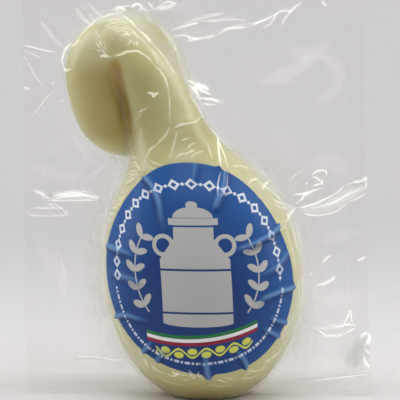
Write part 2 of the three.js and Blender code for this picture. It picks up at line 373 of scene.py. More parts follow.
OVER_HEAD = np.array([-30.0, -24.0])  # x where puckers above the head start
PUCKER_LENGTHS = (4, 16)
PUCKER_WIDTHS = (0.7, 1.5)
PUCKER_RISES = (0.06, 0.2)
FILM_COLUMNS = 288
FILM_ROWS = 338
UNDER_ROWS = 5
EVENED_ROWS = 15  # over which the columns' spacing is evened out
OVER_CHEESE = slice(100, 230)  # columns of the field that set the rows' spacing
FLOOR_GAP = 0.05
NARROWS_FROM = 0.72  # share of the bag's width from which it is drawn in towards the right edge
EDGE_LIFTS = (1.2, 3.6)  # of the bottom edge beside the cheese, at the left and at the right
FOOT_MIDDLE = 4  # x of the middle of the cheese's foot, and its half width
FOOT_HALF = 18

FIELD_X = np.arange(BAG_LEFT, BAG_RIGHT + FIELD_PITCH / 2, FIELD_PITCH)
FIELD_Z = np.arange(0.0, BAG_TOP + FIELD_PITCH / 2, FIELD_PITCH)
PLACE_X, PLACE_Z = np.meshgrid(FIELD_X, FIELD_Z)

# Folds of the margins, where the two films had too much width: path | half width at the widest, height to the
# front, how white the fold is, partly stress whitening and partly painted highlight, and 1 where its far end
# stays open instead of closing to a point.
MARGIN_FOLDS = traced("""
-66,86.4 -58,87 -50,87.3 -42,85.6 | 2 1.8 1 0
-76,81 -66,80.8 -57.5,81.6 | 1.7 0.8 0.12 0
44,81.8 52.5,81.5 59.5,83.5 66,87 72,90.5 76,93 | 3.8 1.6 0.36 1
41,86.5 48,87.6 57,91 | 1.5 0.8 0.1 0
51,93.5 56,97 59,95 | 2.2 0.6 0.14 0
-9,159 4,163 21,171 | 2 0.9 0.16 0
0,156 15.5,160.5 31,163.5 37,169 50,174 | 1.3 1 0.06 0
-3.5,136 1,134 6,132 | 3 1 0.3 0
0,130.5 7,129 15,127 | 1.3 0.6 0.14 0
76,28 72,20 67,10 | 4.5 2 0.5 0
50,29 58,28.2 67,30.5 70,36 | 2.2 1.2 0.07 0
76,68 66,64 54,58 | 4 1.2 0.05 0
34.6,4.6 56,4.2 76,7.4 | 1.6 0.8 0.1 1
-55,14.8 -44,15.8 -36,14.8 | 1.3 0.6 0.12 0
-76,152.4 -68,151 -59,149.4 | 1 0.5 0.12 0
-74,120 -68,128 -63,135 | 1.4 0.6 0.08 0
-53,172 -48,167 -43.5,162 | 1.3 0.7 0.1 0
-69,166 -63,160 -57,153 | 1.8 0.8 0.1 0
-37.5,168 -31,169.4 -24,169.6 | 1.6 0.8 0.25 0
-22,173 -16,170.6 -6,172.6 | 1.8 0.8 0.25 0
-45,180 -20,186 0,196 | 2.5 1.2 0.08 0
5,178 25,190 40,206 | 2.2 1.1 0.08 0
""")

# Pleats of the film over the cheese and the label, and dents beside them: path | half width, height outwards.
FRONT_PLEATS = traced("""
8.7,114 9.8,107 12,101 11.2,94 9.2,89 8.1,86 | 1.2 1.8
13,66.5 20,68.8 27,71.6 33,74.6 39.5,78.6 | 1 3.2
18,63 26,65.6 32,68.4 37,71.5 | 2 -1.2
30,60 33.5,65 36.5,69 | 2.6 -0.7
-13.5,74 -15,81 -16.3,87 -18.8,93.2 -22.8,97.8 | 1.1 1.9
-17,76 -18.5,84 -21.5,92 | 2.2 -0.7
-25,63.8 -31,66 -36,67 -40.5,67.8 | 1 2.4
-30,58 -35,62.5 -38.5,64 | 1.8 -1
-33,72 -37,76 -39,80 | 1.8 -0.8
-19,37 -26,38.2 -31,38.8 -38,35.5 | 0.9 2.3
-24,42 -30,43 -36,42 | 1.8 -0.9
22,44 29,47.2 35,49.2 42.8,50.4 | 1 2.4
26,41.5 32,44 37,45.5 | 1.6 -0.9
27,34.5 35.9,28.9 | 0.9 1.9
29,39 39,34.5 | 0.9 1.8
3,26 3.6,19 5.2,10.3 | 1.2 2.8
7.5,22 8.5,15 | 1.6 -0.8
15,27 20,20 21.6,14.4 | 0.9 2
-18,29.5 -23.6,22 | 0.9 1.7
-12.5,27.5 -17,19.2 | 0.9 1.6
25,56 33,59.5 38.5,64.5 | 1.2 1.4
-39,57.5 -33,55.6 -25,54 | 1.2 1.1
-3,92.5 -1.5,97 -0.5,104 | 1.3 0.9
2.5,92 3.5,99 | 1.6 -0.5
24,86 28.5,93 | 1.1 0.9
""")

# Patches where the clinging film is finely wrinkled and so less clear, and partly painted sheen of the light
# it reflects: middle x and z, half widths, strength.
VEILS_AND_SHEEN = (
    (-14, 127, 9, 18, 0.05), (-6, 128, 6, 22, 0.16), (-33, 164, 12, 4, 0.24), (-11, 152, 4, 12, 0.24),
    (-19, 164, 9, 5, 0.32), (-41, 151.4, 2, 3, 0.2), (-42.6, 157, 1.2, 3.4, 0.16), (-26, 157, 3, 4, 0.12),
    (-50, 152, 7, 10, 0.16), (-42, 156.5, 8, 6, 0.2), (-27, 156, 10, 4.5, 0.18), (-20, 155, 4, 5, 0.14),
    (-16, 147, 4, 6, 0.14), (-11, 138, 3.5, 7, 0.1), (-26, 97, 10, 14, 0.16), (12, 102, 16, 10, 0.1),
    (30, 92, 12, 12, 0.3), (45, 60, 8, 30, 0.18), (-42, 68, 7, 22, 0.3), (-40, 40, 8, 16, 0.26),
    (43, 30, 9, 16, 0.36), (2, 16, 26, 5, 0.08), (-30, 20, 9, 8, 0.26), (-62, 60, 14, 24, 0.03),
    (-62, 124, 10, 20, 0.02), (40, 142, 24, 9, 0.03), (62, 62, 14, 5, 0.04), (60, 44, 14, 10, 0.03),
    (70, 18, 7, 10, 0.25), (60, 88, 14, 4, 0.1),
)

# Sharp creases of the films: path | half width, height, whiteness, partly stress whitening and partly painted
# glint.
CREASES = traced("""
# head: the line over the fold, and on down the neck
-35.5,148 -34,149 -32.5,149.5 -29.5,150.5 -26,151 -24,150 -21.5,148.5 -19.5,146.5 -18,144.5 | 0.34 0.3 0.85
-18,144.5 -16,143 -14.5,140.5 -13,137.5 -12,133.5 | 0.36 0.3 0.9
-12,133.5 -11.5,126.5 -11.5,119 | 0.3 0.22 0.5
-11.5,119 -13,115.5 -16.5,111.5 -20,108.5 -22,104.5 -22.5,99.5 | 0.5 0.22 0.4
-10.5,117.5 -8,119 -4,120 -0.5,120.5 2,122.5 | 0.45 0.3 0.6
-8.5,117 -10,110.5 -12,105 | 0.34 0.22 0.35
-29,107.5 -27.5,105 -26,102.5 -23,98 | 0.3 0.2 0.3
-25.5,123 -28,116 -29.5,108.5 | 0.32 0.22 0.35
-24.5,119.5 -24.5,113.5 -25.5,108.5 | 0.3 0.2 0.3
-25.5,124 -23.5,125.5 -20.5,127 | 0.45 0.26 0.45
-25.5,122.5 -23,124.5 | 0.3 0.2 0.35
-21.5,133 -19.5,133 -18,132.5 -16,133.5 | 0.45 0.3 0.9
-19.5,133 -18.5,131.5 -16.5,132.5 | 0.4 0.3 0.8
# the crumple in the fold at the top of the head
-43.2,160 -42.8,157.8 | 0.2 0.18 0.5
-42.4,158 -41.4,156.2 | 0.18 0.18 0.5
-43.4,154.6 -42,153.2 -41.4,151.8 | 0.18 0.2 0.7
-42,155.6 -41,154.2 -40.4,152.6 | 0.18 0.2 0.8
-42.6,151.4 -41.4,150.4 | 0.2 0.22 0.8
-40.8,151.8 -39.4,150.4 -38.6,149 | 0.2 0.2 0.8
-41.6,148.2 -39.8,149 -38,148.6 -36.4,147.8 | 0.5 0.26 0.95
-39.6,152.8 -38.2,151.2 | 0.16 0.18 0.6
# fine wrinkles over the top of the head
-39.5,161 -36.5,162.5 -32.5,163 -28.5,162 | 0.4 0.16 0.35
-39,160 -35.5,161 -32,162 -28,160.5 | 0.36 0.16 0.35
-37.5,159 -33.5,160.5 -30.5,160.5 -27,159.5 | 0.36 0.16 0.35
-35.5,158.5 -32,159.5 -28.5,159 -25.5,158 | 0.34 0.15 0.3
-33,157.5 -30,158 -27,157.5 | 0.32 0.15 0.3
-38,163 -35,164.5 -31,164.5 | 0.4 0.16 0.35
-28.5,154 -28,156 | 0.3 0.24 0.7
-27,153.5 -26.5,155.5 | 0.3 0.24 0.7
-26,153 -25.5,155 | 0.3 0.24 0.6
-29.5,153 -29,154.5 | 0.26 0.2 0.5
-31,157 -30,158.5 -28.5,157 | 0.28 0.2 0.5
-19.5,151.5 -17.5,148 -16,144.5 | 0.5 0.14 0.25
-27.5,160 -26,157.5 -25,155.5 | 0.4 0.16 0.3
-29.5,161.5 -27.5,159.5 -25,157 -21.5,153.5 | 0.3 0.14 0.3
-25.5,157.5 -22,154.5 -18.5,150.5 -14.5,145.5 | 0.3 0.12 0.22
# where the front and the back of the head meet
-32.5,166.5 -30.5,165 -28,163 -26,160.5 | 0.6 0.3 0.6
-26,160.5 -23.5,158.5 -21.5,156 -19.5,154 | 0.7 0.34 0.75
-19.5,154 -17,151.5 -13.5,147 -10.5,142.5 -7.5,139 | 0.5 0.24 0.4
-23,158 -20.5,156.5 -19.5,154.5 | 0.34 0.24 0.6
# edges of the head
-57.5,143 -58.5,146 -57.5,150 -55.5,153 -52,155 | 0.8 0.4 0.8
-58,143 -56.5,142.5 -54,143 | 0.5 0.34 0.8
-54.5,152.5 -52,154 -50,156.5 | 0.5 0.34 0.8
-52,155 -48.5,159 -45,162.5 -41.5,165 | 0.7 0.3 0.45
-41.5,165 -37,166.5 -32,167.5 | 0.7 0.3 0.4
-17,162 -13,158 -10,153 -8.5,148.5 | 0.6 0.3 0.35
-56.5,140.5 -56.5,135 -55,129.5 | 0.5 0.24 0.3
# the neck and the shoulders
-4,133 -1.5,129 1,125.5 3,121.5 | 0.5 0.3 0.5
3,121.5 6.5,116.5 11,112 15.5,107.5 | 0.6 0.3 0.4
8.5,114 9,110 9.5,105.5 11,100.5 | 0.44 0.6 1
8.5,114 10,109.5 12,105 13,100.5 | 0.4 0.55 1
10,100 9,95 9,89.5 | 0.4 0.5 0.9
13,99.5 12,94 9.5,89.5 | 0.36 0.45 0.8
-4.5,109.5 -2.5,111 0,112 | 0.45 0.26 0.5
-5.5,106.5 -3,108 -0.5,109 | 0.45 0.26 0.5
-9,105.5 -7,107 -4.5,107.5 | 0.4 0.26 0.45
-7,112 -4.5,113.5 -2,114 | 0.36 0.22 0.35
-3,105.5 0,107.5 3,108.5 | 0.36 0.22 0.35
13.5,102 18.5,101.5 24,100 | 0.4 0.24 0.4
4,113 5.5,108.5 6.5,104.5 | 0.4 0.2 0.3
21.5,94 23.5,95.5 26.5,96 | 0.45 0.26 0.5
27.5,91.5 30,93.5 32.5,94.5 | 0.45 0.26 0.5
24.5,97 28,93.5 32.5,90 38,84.5 | 0.5 0.24 0.35
# stretch marks of the left shoulder
-29.5,103.5 -27,105 -24.5,104.5 | 0.3 0.16 0.3
-30.5,101 -27.5,103 -25,102.5 | 0.3 0.16 0.35
-31,99 -27.5,101.5 -24,100.5 | 0.32 0.16 0.35
-31.5,97.5 -28.5,99.5 -25,99.5 | 0.32 0.18 0.4
-32,95.5 -29,98 -25,99.5 | 0.32 0.18 0.45
-33,94 -29,97 -25,98.5 | 0.34 0.18 0.5
-33.5,92.5 -29,95.5 -25.5,97 | 0.34 0.18 0.5
-33.5,91 -30,94 -27,95.5 | 0.34 0.18 0.45
-34.5,89.5 -30.5,92 -27.5,94 | 0.34 0.18 0.45
-35,88.5 -31,90.5 -28.5,92 | 0.34 0.18 0.4
-35.5,87 -32,88.5 -29.5,90.5 | 0.34 0.18 0.4
-35.5,86 -33,87 -30.5,88.5 | 0.34 0.18 0.4
-36,84.5 -33.5,85 -31.5,86.5 | 0.3 0.16 0.35
-37,82.5 -34,83.5 | 0.3 0.16 0.3
-38,80 -35.5,81 | 0.3 0.16 0.3
-39,77 -36.5,78.5 | 0.3 0.16 0.3
-21.5,102.5 -19,101 -16.5,100.5 | 0.3 0.14 0.25
-20,104.5 -17.5,103 -14,102.5 | 0.3 0.14 0.25
# streaks down the right side and the left
38,83.5 41,75.5 43.5,67 44.5,59.5 | 0.5 0.2 0.35
40,81 42.5,73 44,64.5 | 0.4 0.2 0.3
36,80.5 39,72 41.5,63 43,52.5 | 0.5 0.2 0.3
43.5,75 45.5,66 46,55.5 | 0.45 0.2 0.3
43.5,58.5 44.5,48.5 43.5,39 | 0.45 0.2 0.35
45.5,54 46,46 44.5,39.5 | 0.4 0.2 0.3
40.5,39 38,31.5 36,26.5 | 0.45 0.2 0.3
38.5,77.5 41,80 44,83 | 0.7 0.4 0.7
31.5,88 36,85 42,82.5 | 0.6 0.3 0.4
33.5,85 37.5,83 42.5,82 | 0.5 0.26 0.35
-40.5,75 -41,68.5 -40.5,61 | 0.5 0.2 0.3
-39,65 -40,54 -39,43 | 0.45 0.2 0.3
-34.5,35 -32.5,29 -29,23.5 | 0.5 0.22 0.35
-36.5,32.5 -34.5,26 -30.5,20.5 | 0.5 0.22 0.3
# crumples under the label
-13,14.5 -10,12.5 -7,15.5 | 0.5 0.4 0.55
-10.5,15.5 -9,14 -3,13.5 | 0.45 0.36 0.5
-3.5,17 -2,14 -0.5,12 | 0.5 0.4 0.55
0.5,16 1,13.5 3.5,11.5 | 0.45 0.36 0.5
7,12.5 10.5,11 13.5,10 | 0.5 0.4 0.55
10.5,13 15,11.5 19.5,12.5 | 0.5 0.36 0.4
-8,12.5 -4.5,11 -1,12.5 | 0.4 0.3 0.4
-20,18 -17.5,15 -14,13.5 | 0.6 0.36 0.4
-23,21 -21.5,17 -19.5,13.5 | 0.6 0.34 0.35
21,15 25.5,14 30.5,15.5 | 0.6 0.34 0.4
28,17.5 32,19.5 36.5,22.5 | 0.6 0.34 0.4
-16,11 -10.5,9 -5.5,8.5 | 0.5 0.3 0.3
3.5,9.5 10,8 16.5,8.5 | 0.5 0.3 0.3
18.5,11 23.5,11 28,12 | 0.5 0.3 0.35
# left margin
-72.5,89.5 -69,88.5 -67,87 -64.5,86 | 0.6 0.4 0.8
-64.5,86.5 -59.5,88 -53.5,88.5 -48,88 -42.5,85.5 | 0.45 0.45 1
-66,85 -61,85.5 -51.5,85.5 -46,86 -42.5,85 | 0.45 0.4 0.9
-64,86 -57.5,87 -51.5,87.5 -45,86.5 | 0.7 0.3 0.8
-67,84 -62.5,83.5 -59.5,81.5 -57,80 -59,79 -67,78.5 -73.5,79 -76,81.5 | 0.3 0.26 0.42
-66.5,84.5 -62.5,82 -60,80.5 | 0.3 0.26 0.5
-76,153 -72.5,152.5 -66,151 -59.5,150 | 0.34 0.34 0.85
-75.5,151 -71.5,149.5 -68,147.5 | 0.34 0.26 0.5
-76,150 -73,144.5 -69.5,138.5 -66,134.5 | 0.34 0.26 0.4
-63,136.5 -62.5,137 | 0.5 0.4 0.9
-62.5,134 -68,127.5 -74,120.5 | 0.3 0.26 0.45
-76,135 -74.5,134.5 -72.5,134.5 | 0.45 0.34 0.7
-61.5,129.5 -58.5,129 -55.5,130.5 | 0.3 0.24 0.4
-54,117.5 -56.5,114 -59.5,110 | 0.3 0.3 0.1
-55,115 -51.5,109.5 -47,103 -44,101 | 0.8 0.24 0.15
-68,164 -64.5,159.5 -61.5,155.5 -57.5,152 | 0.8 0.26 0.25
-53,170 -51,167 -48.5,164 -44.5,161.5 | 0.7 0.26 0.3
-47.5,172 -43.5,167.5 -40,165 | 0.5 0.24 0.25
-53.5,15.5 -50.5,16 -43.5,16 -34,15 -22,19.5 | 0.34 0.3 0.6
-62.5,65 -59,58.5 -57.5,48.5 -57.5,43.5 | 0.6 0.2 0.12
# above the head
-36.5,169 -34.5,169.5 -32.5,169 -31.5,167.5 | 0.6 0.45 1
-29,169.5 -27,171 -25,170.5 -23.5,168.5 | 0.6 0.45 1
-26.5,167.5 -25,169 -22.5,168.5 -20.5,167.5 | 0.4 0.3 0.6
-21.5,172.5 -20.5,171 -19.5,169.5 | 0.5 0.4 1
-20.5,168.5 -17,169.5 -12.5,170 -8.5,172 | 0.7 0.45 0.9
-16,171 -12.5,172 -9,171.5 | 0.5 0.36 0.8
-12,159 -7.5,161 -3,162 1.5,163.5 | 0.5 0.4 0.9
-11,157 -6,157.5 -2,156.5 1.5,156 | 0.45 0.36 0.8
-5,154.5 0,156 5,157 8.5,157.5 | 0.5 0.4 0.95
-6,162.5 -0.5,164.5 5.5,166 12.5,167 | 0.6 0.3 0.5
8.5,157.5 12.5,160 18,161 24,161.5 | 0.5 0.4 1
1.5,163.5 8,164 15.5,164.5 23,164 | 0.4 0.3 0.6
24,161.5 27.5,163.5 31,165 34.5,167 | 0.44 0.4 1
28.5,160 32,162.5 34.5,166.5 36.5,168.5 | 0.34 0.34 0.8
34.5,167 38,168.5 41,168 44,170.5 47.5,172.5 | 0.5 0.45 1
37,161 38,164 40.5,167 42.5,168.5 | 0.36 0.34 0.7
57,173 58,171.5 59,170 | 0.6 0.4 0.9
-3.5,155.5 -3,156.5 | 0.5 0.3 0.8
# beside the neck
-5,138.5 -2,137 1,135 4,134.5 | 0.5 0.44 1
-3,135 0,134.5 3,133 6.5,131.5 | 0.5 0.44 1
-4,137 -1.5,134 1.5,131 | 0.4 0.36 0.9
-0.5,131 3,130 7,129.5 11.5,127.5 | 0.5 0.4 0.9
1.5,128 5,127.5 8.5,127.5 | 0.36 0.3 0.7
-2,136.5 -0.5,133 0.5,129.5 | 0.34 0.34 0.8
# right margin
44,82.5 48.5,83 52,84 57,86 63.5,89.5 67,92.5 | 0.34 0.44 1
67,92.5 70.5,93.5 73.5,94 76,95.5 76,96 | 0.41 0.44 0.9
46.5,80 51,79 57,79.5 63.5,81.5 68.5,85 | 0.34 0.44 1
68.5,85 70.5,86 74.5,87.5 76,89.5 | 0.41 0.4 0.8
76,95.5 76,93.5 76,90.5 | 0.34 0.34 0.6
50,82 57,83.5 64,86.5 71.5,90 76,92 | 0.41 0.26 0.5
54.5,82 61.5,84.5 67,88.5 69.5,91.5 | 0.34 0.24 0.4
43.5,84 46,86 48,88 52,90 56.5,91 | 0.41 0.4 0.9
42,88 47,88.5 50.5,89.5 | 0.27 0.34 0.8
50.5,96 52,97.5 54,98.5 57.5,98.5 58,97 57.5,95 | 0.34 0.44 1
50.5,96 53.5,95.5 55.5,94 56,93 53.5,92.5 51,91.5 | 0.37 0.44 1
48,93 49,93 | 0.41 0.4 1
40.5,91 42,95.5 45.5,98.5 49,100 | 0.34 0.24 0.2
55.5,58 57.5,60 60,61.5 | 0.41 0.4 0.9
71,58.5 74,59.5 76,60.5 | 0.41 0.4 0.9
52.5,48 55,48.5 57.5,49 60.5,51 62,52.5 | 0.54 0.5 1
50,54 50.5,52.5 | 0.41 0.3 0.4
55.5,32 60,31 64,30.5 66,33 68,37 68.5,33.5 70.5,30 | 0.34 0.4 0.85
51,30 54.5,28 58,26 62.5,26.5 67.5,28.5 70.5,30 | 0.37 0.44 0.95
65,31 67.5,31.5 70,30.5 | 0.41 0.34 0.7
73,21 75,24 76,26 76,28 | 0.54 0.5 1
74.5,22 76,24 76,26.5 | 0.48 0.44 0.9
73.5,20.5 75,18.5 76,18.5 | 0.54 0.44 0.9
73,17.5 74,13 76,9.5 | 0.54 0.4 0.8
45.5,3 58.5,4.5 68,6 76,7.5 | 0.23 0.3 0.6
64.5,1 71.5,1.5 76,2.5 | 0.2 0.24 0.3
48,37.5 45,34.5 42.5,32 | 0.34 0.26 0.2
# wide and faint: the inside of the right fold, and cloudy smears above it and below
45,81.2 52.5,82 59.5,84 66,87 72,90 76,92 | 2.2 0.5 0.3
26,137 34,139 41.5,141.5 50,147 57,149 | 2.4 0.3 0.12
56,149 63,144 64,137 59,131 51,129 | 2.2 0.3 0.1
38,152 46,149.5 53,150 60,154 | 2 0.3 0.07
50,101 57,103 64,101 70,97 | 2.2 0.3 0.08
54,70 62,68.5 69,70.5 75,69 | 2 0.3 0.08
51,44 58,41.5 66,43.5 73,41 | 2 0.3 0.1
-74,100 -66,97.5 -58,96 -50,97 | 2 0.3 0.07
-71,66 -65,60 -60,52 -59,44 | 2 0.3 0.07
""")


def cheese_reach():
    """Front and back of the cheese over the field: the outermost of the body's ellipses and the strand's
    balls."""
    middle, radius = body_at(PLACE_Z)
    half = np.sqrt(np.maximum(radius**2 - (PLACE_X - middle) ** 2, 0)) * (PLACE_Z <= BODY_TOP)
    front = np.where(half > 0, -BODY_DEPTH * half, FAR)
    back = np.where(half > 0, BODY_DEPTH * half, -FAR)
    for x, y, z, r in STRAND_BALLS:
        left = r**2 - (PLACE_X - x) ** 2 - (PLACE_Z - z) ** 2
        half = STRAND_DEPTH * np.sqrt(np.maximum(left, 0))
        front = np.where(left > 0, np.minimum(front, y - half), front)
        back = np.where(left > 0, np.maximum(back, y + half), back)
    return front, back


def meeting_plane():
    """Where the two films meet: a mean of the cheese's middle depths, weighted to whatever part is
    nearest."""
    heights = np.arange(0, BODY_TOP, PLANE_STEP)
    middle, radius = body_at(heights)
    spots = [(x, 0.0, z, r) for x, z, r in zip(middle, heights, radius)]
    total = np.zeros(PLACE_X.shape)
    weights = np.zeros(PLACE_X.shape)
    for x, y, z, r in spots + STRAND_BALLS[::2].tolist():
        away = np.maximum(np.hypot(PLACE_X - x, PLACE_Z - z) - r, 0)
        weight = 1 / (away**2 + PLANE_SOFT**2) ** 2
        total += weight * y
        weights += weight
    return total / weights


def neighbour_mean(values):
    """The mean of the four neighbours of every inner place."""
    return (values[1:-1, :-2] + values[1:-1, 2:] + values[:-2, 1:-1] + values[2:, 1:-1]) / 4


def stretched(obstacle):
    """A taut film over the obstacle: each pass takes the mean of four neighbours less the vacuum's pull,
    but never less than the obstacle."""
    film = obstacle.copy()
    pull = FILM_PULL * FIELD_PITCH**2 / 4
    for _ in range(FILM_PASSES):
        film[1:-1, 1:-1] = np.maximum(obstacle[1:-1, 1:-1], neighbour_mean(film) - pull)
    return film


def blurred(values, passes):
    """Evened out: each pass takes half from the four neighbours."""
    values = values.copy()
    for _ in range(passes):
        values[1:-1, 1:-1] = (values[1:-1, 1:-1] + neighbour_mean(values)) / 2
    return values


FRONT, BACK = cheese_reach()
COVERED = FRONT < BACK
PLANE = meeting_plane()
LIFT_FRONT = stretched(np.where(COVERED, np.maximum(PLANE - FRONT + FILM_GAP, 0), 0))
LIFT_BACK = stretched(np.where(COVERED, np.maximum(BACK - PLANE + FILM_GAP, 0), 0))


def sample(field, x, z):
    """Bilinear reading of a field at any places."""
    across = np.clip((x - BAG_LEFT) / FIELD_PITCH, 0, len(FIELD_X) - 1.001)
    up = np.clip(z / FIELD_PITCH, 0, len(FIELD_Z) - 1.001)
    i, j = across.astype(int), up.astype(int)
    s, t = across - i, up - j
    low = field[j, i] * (1 - s) + field[j, i + 1] * s
    high = field[j + 1, i] * (1 - s) + field[j + 1, i + 1] * s
    return low * (1 - t) + high * t


def slopes(field, x, z, step):
    """A field's slope to the right and upwards, from readings a step to both sides."""
    slope_x = (sample(field, x + step, z) - sample(field, x - step, z)) / (2 * step)
    slope_z = (sample(field, x, z + step) - sample(field, x, z - step)) / (2 * step)
    return slope_x, slope_z


def outside_distance():
    """How far each place is outside the cheese's outline, in the bag's plane: the least of its distance
    sideways from the body at any height, with the way up or down counted double, and from the strand's
    balls."""
    away = np.full(PLACE_X.shape, FAR)
    for height in np.arange(0, BODY_TOP, OUTLINE_STEP):
        middle, radius = body_at(np.array(height))
        away = np.minimum(away, np.abs(PLACE_X - middle) - radius + 2.0 * np.abs(PLACE_Z - height))
    middle, radius = body_at(PLACE_Z)
    away = np.minimum(away, np.where(PLACE_Z <= BODY_TOP, np.abs(PLACE_X - middle) - radius, FAR))
    for x, _, z, r in STRAND_BALLS[::2]:
        away = np.minimum(away, np.hypot(PLACE_X - x, PLACE_Z - z) - r)
    return np.maximum(away, 0)


def margin_wave():
    """The loose margins' gentle waves, the product of two sines and a finer third, more the further they
    are from the cheese, and the lower right corner that curls."""
    x, z = PLACE_X, PLACE_Z
    wave = np.sin(z / 17 + 0.6) * np.cos(x / 29 + 0.9) + 0.5 * np.sin(z / 9.5 - x / 14)
    corner = smoothstep(45, BAG_RIGHT, x) * (1 - smoothstep(0, 48, z))
    return WAVE_HIGH * wave * smoothstep(2, 30, outside_distance()) - CORNER_CURL * corner


def fold_fields():
    """Displacement to the front and whiteness of the margins' folds, partly stress whitening and partly
    painted highlight: a rounded lens across each path, full in its middle and nothing at its ends, except at
    an end left open."""
    rise = np.zeros(PLACE_X.shape)
    white_and_glint = np.zeros(PLACE_X.shape)
    for path, width, height, milky, open_end in MARGIN_FOLDS:
        away, share = distance_along(through(path, 8), PLACE_X, PLACE_Z)
        full = smoothstep(0, 0.45, share) if open_end else np.sqrt(np.clip(4 * share * (1 - share), 0, 1))
        inside = np.clip(1 - (away / (width * (FOLD_TIP + (1 - FOLD_TIP) * full))) ** 2, 0, 1)
        rise += height * full * inside
        white_and_glint = np.maximum(white_and_glint, milky * np.sqrt(inside) * full)
    return rise, white_and_glint


def pleat_field(pleats):
    """Outward displacement of narrow pleats and dents: a bell across each path, that rises over the first
    three fifths of its length and falls off a little at its end, and is higher where the film is steep so
    that it stands as proud there."""
    rise = np.zeros(PLACE_X.shape)
    for path, width, height in pleats:
        away, share = distance_along(through(path, 8), PLACE_X, PLACE_Z)
        full = smoothstep(0, 0.6, share) * (1 - 0.25 * smoothstep(0.9, 1.0, share))
        rise += height * full * bell(away, width)
    up, across = np.gradient(blurred(LIFT_FRONT, 8), FIELD_PITCH)
    return np.maximum(rise, -DENT_LIMIT) * np.minimum(np.sqrt(1 + up**2 + across**2), PLEAT_GAIN)


def painted_pleat_tones(pleats):
    """Painted highlight on the upper side of each pleat and painted shade under it, both from 0 to 1, as the
    label's ink shows them."""
    light = np.zeros(PLACE_X.shape)
    shade = np.zeros(PLACE_X.shape)
    for path, width, height in pleats:
        if height < 0:
            continue
        _, share, side = beside(through(path, 8), PLACE_X, PLACE_Z)
        full = smoothstep(0, 0.5, share) * min(height / FULL_TONE, 1)
        light = np.maximum(light, full * bell(side - 0.25 * width, 0.6 * width))
        shade = np.maximum(shade, full * bell(side + 1.5 * width, 1.3 * width))
    return light, shade


def radial_puckers(seed, count):
    """Fine puckers of the margins that run away from the cheese: short lenses placed round its outline."""
    draw = np.random.default_rng(seed)
    rise = np.zeros(PLACE_X.shape)
    for _ in range(count):
        height = draw.uniform(*PUCKER_HEIGHTS)
        side = draw.choice((-1.0, 1.0))
        covered = FIELD_X[COVERED[int(height / FIELD_PITCH)]]
        if not len(covered):
            covered = OVER_HEAD
        start = np.array([covered[0] if side < 0 else covered[-1], height])
        start[0] += side * draw.uniform(*PUCKER_STARTS)
        lean = draw.normal(0, PUCKER_LEAN) + (height - PUCKERS_LEVEL) / PUCKERS_FAN
        end = start + draw.uniform(*PUCKER_LENGTHS) * np.array([side * math.cos(lean), math.sin(lean)])
        low, high = np.minimum(start, end) - PUCKER_REACH, np.maximum(start, end) + PUCKER_REACH
        near = (PLACE_X > low[0]) & (PLACE_X < high[0]) & (PLACE_Z > low[1]) & (PLACE_Z < high[1])
        away, share = distance_along(np.array([start, end]), PLACE_X[near], PLACE_Z[near])
        across = bell(away, draw.uniform(*PUCKER_WIDTHS))
        rise[near] += draw.uniform(*PUCKER_RISES) * np.clip(4 * share * (1 - share), 0, 1) * across
    return rise


def veil_and_sheen_field():
    """How white the film is from its fine wrinkles, and partly from painted sheen: soft ovals added up."""
    veil_and_sheen = np.zeros(PLACE_X.shape)
    for x, z, wide, high, strength in VEILS_AND_SHEEN:
        away = ((PLACE_X - x) / wide) ** 2 + ((PLACE_Z - z) / high) ** 2
        veil_and_sheen += strength * np.exp(-away)
    return veil_and_sheen


FOLD_RISE, FOLD_WHITE_AND_GLINT = fold_fields()
VEIL_AND_SHEEN = veil_and_sheen_field()
PUCKERS = radial_puckers(7, 36)
LOOSE = 1 - smoothstep(*LOOSE_LIFTS, np.minimum(LIFT_FRONT, LIFT_BACK))
MIDDLE = PLANE + margin_wave() - (FOLD_RISE + PUCKERS) * LOOSE
PLEATS = pleat_field(FRONT_PLEATS) * (1 - LOOSE)
PAINTED_PLEAT_LIGHT, PAINTED_PLEAT_SHADE = painted_pleat_tones(FRONT_PLEATS)
FRONT_Y = MIDDLE - MARGIN_GAP - LIFT_FRONT - PLEATS + SHIFT_Y
BACK_Y = MIDDLE + MARGIN_GAP + LIFT_BACK + SHIFT_Y


def from_0_to_1(walked):
    """A run of rising values brought to begin at 0 and end at 1."""
    return (walked - walked[..., :1]) / (walked[..., -1:] - walked[..., :1])


def spread(lift):
    """Columns for every row of a film, evenly spaced along the film's own surface, and rows that crowd
    where it turns under at the floor and over at the head."""
    rise = blurred(lift, 6)
    length = np.sqrt(1 + np.gradient(rise, FIELD_PITCH, axis=1) ** 2)
    window = np.ones(EVENED_ROWS) / EVENED_ROWS
    length = np.apply_along_axis(lambda column: np.convolve(column, window, mode="same"), 0, length)
    edge = EVENED_ROWS // 2 + 1
    length[:edge] = length[edge]
    length[-edge:] = length[-edge - 1]
    walked = from_0_to_1(np.cumsum(length, axis=1))
    climb = np.sqrt(1 + np.gradient(rise, FIELD_PITCH, axis=0) ** 2)[:, OVER_CHEESE].mean(axis=1)
    heights = np.interp(np.linspace(0, 1, FILM_ROWS), from_0_to_1(np.cumsum(climb)), FIELD_Z)
    shares = np.linspace(0, 1, FILM_COLUMNS)
    rows = np.clip((heights / FIELD_PITCH).astype(int), 0, len(FIELD_Z) - 1)
    x = np.stack([np.interp(shares, walked[row], FIELD_X) for row in rows])
    return x, np.repeat(heights[:, None], FILM_COLUMNS, axis=1)


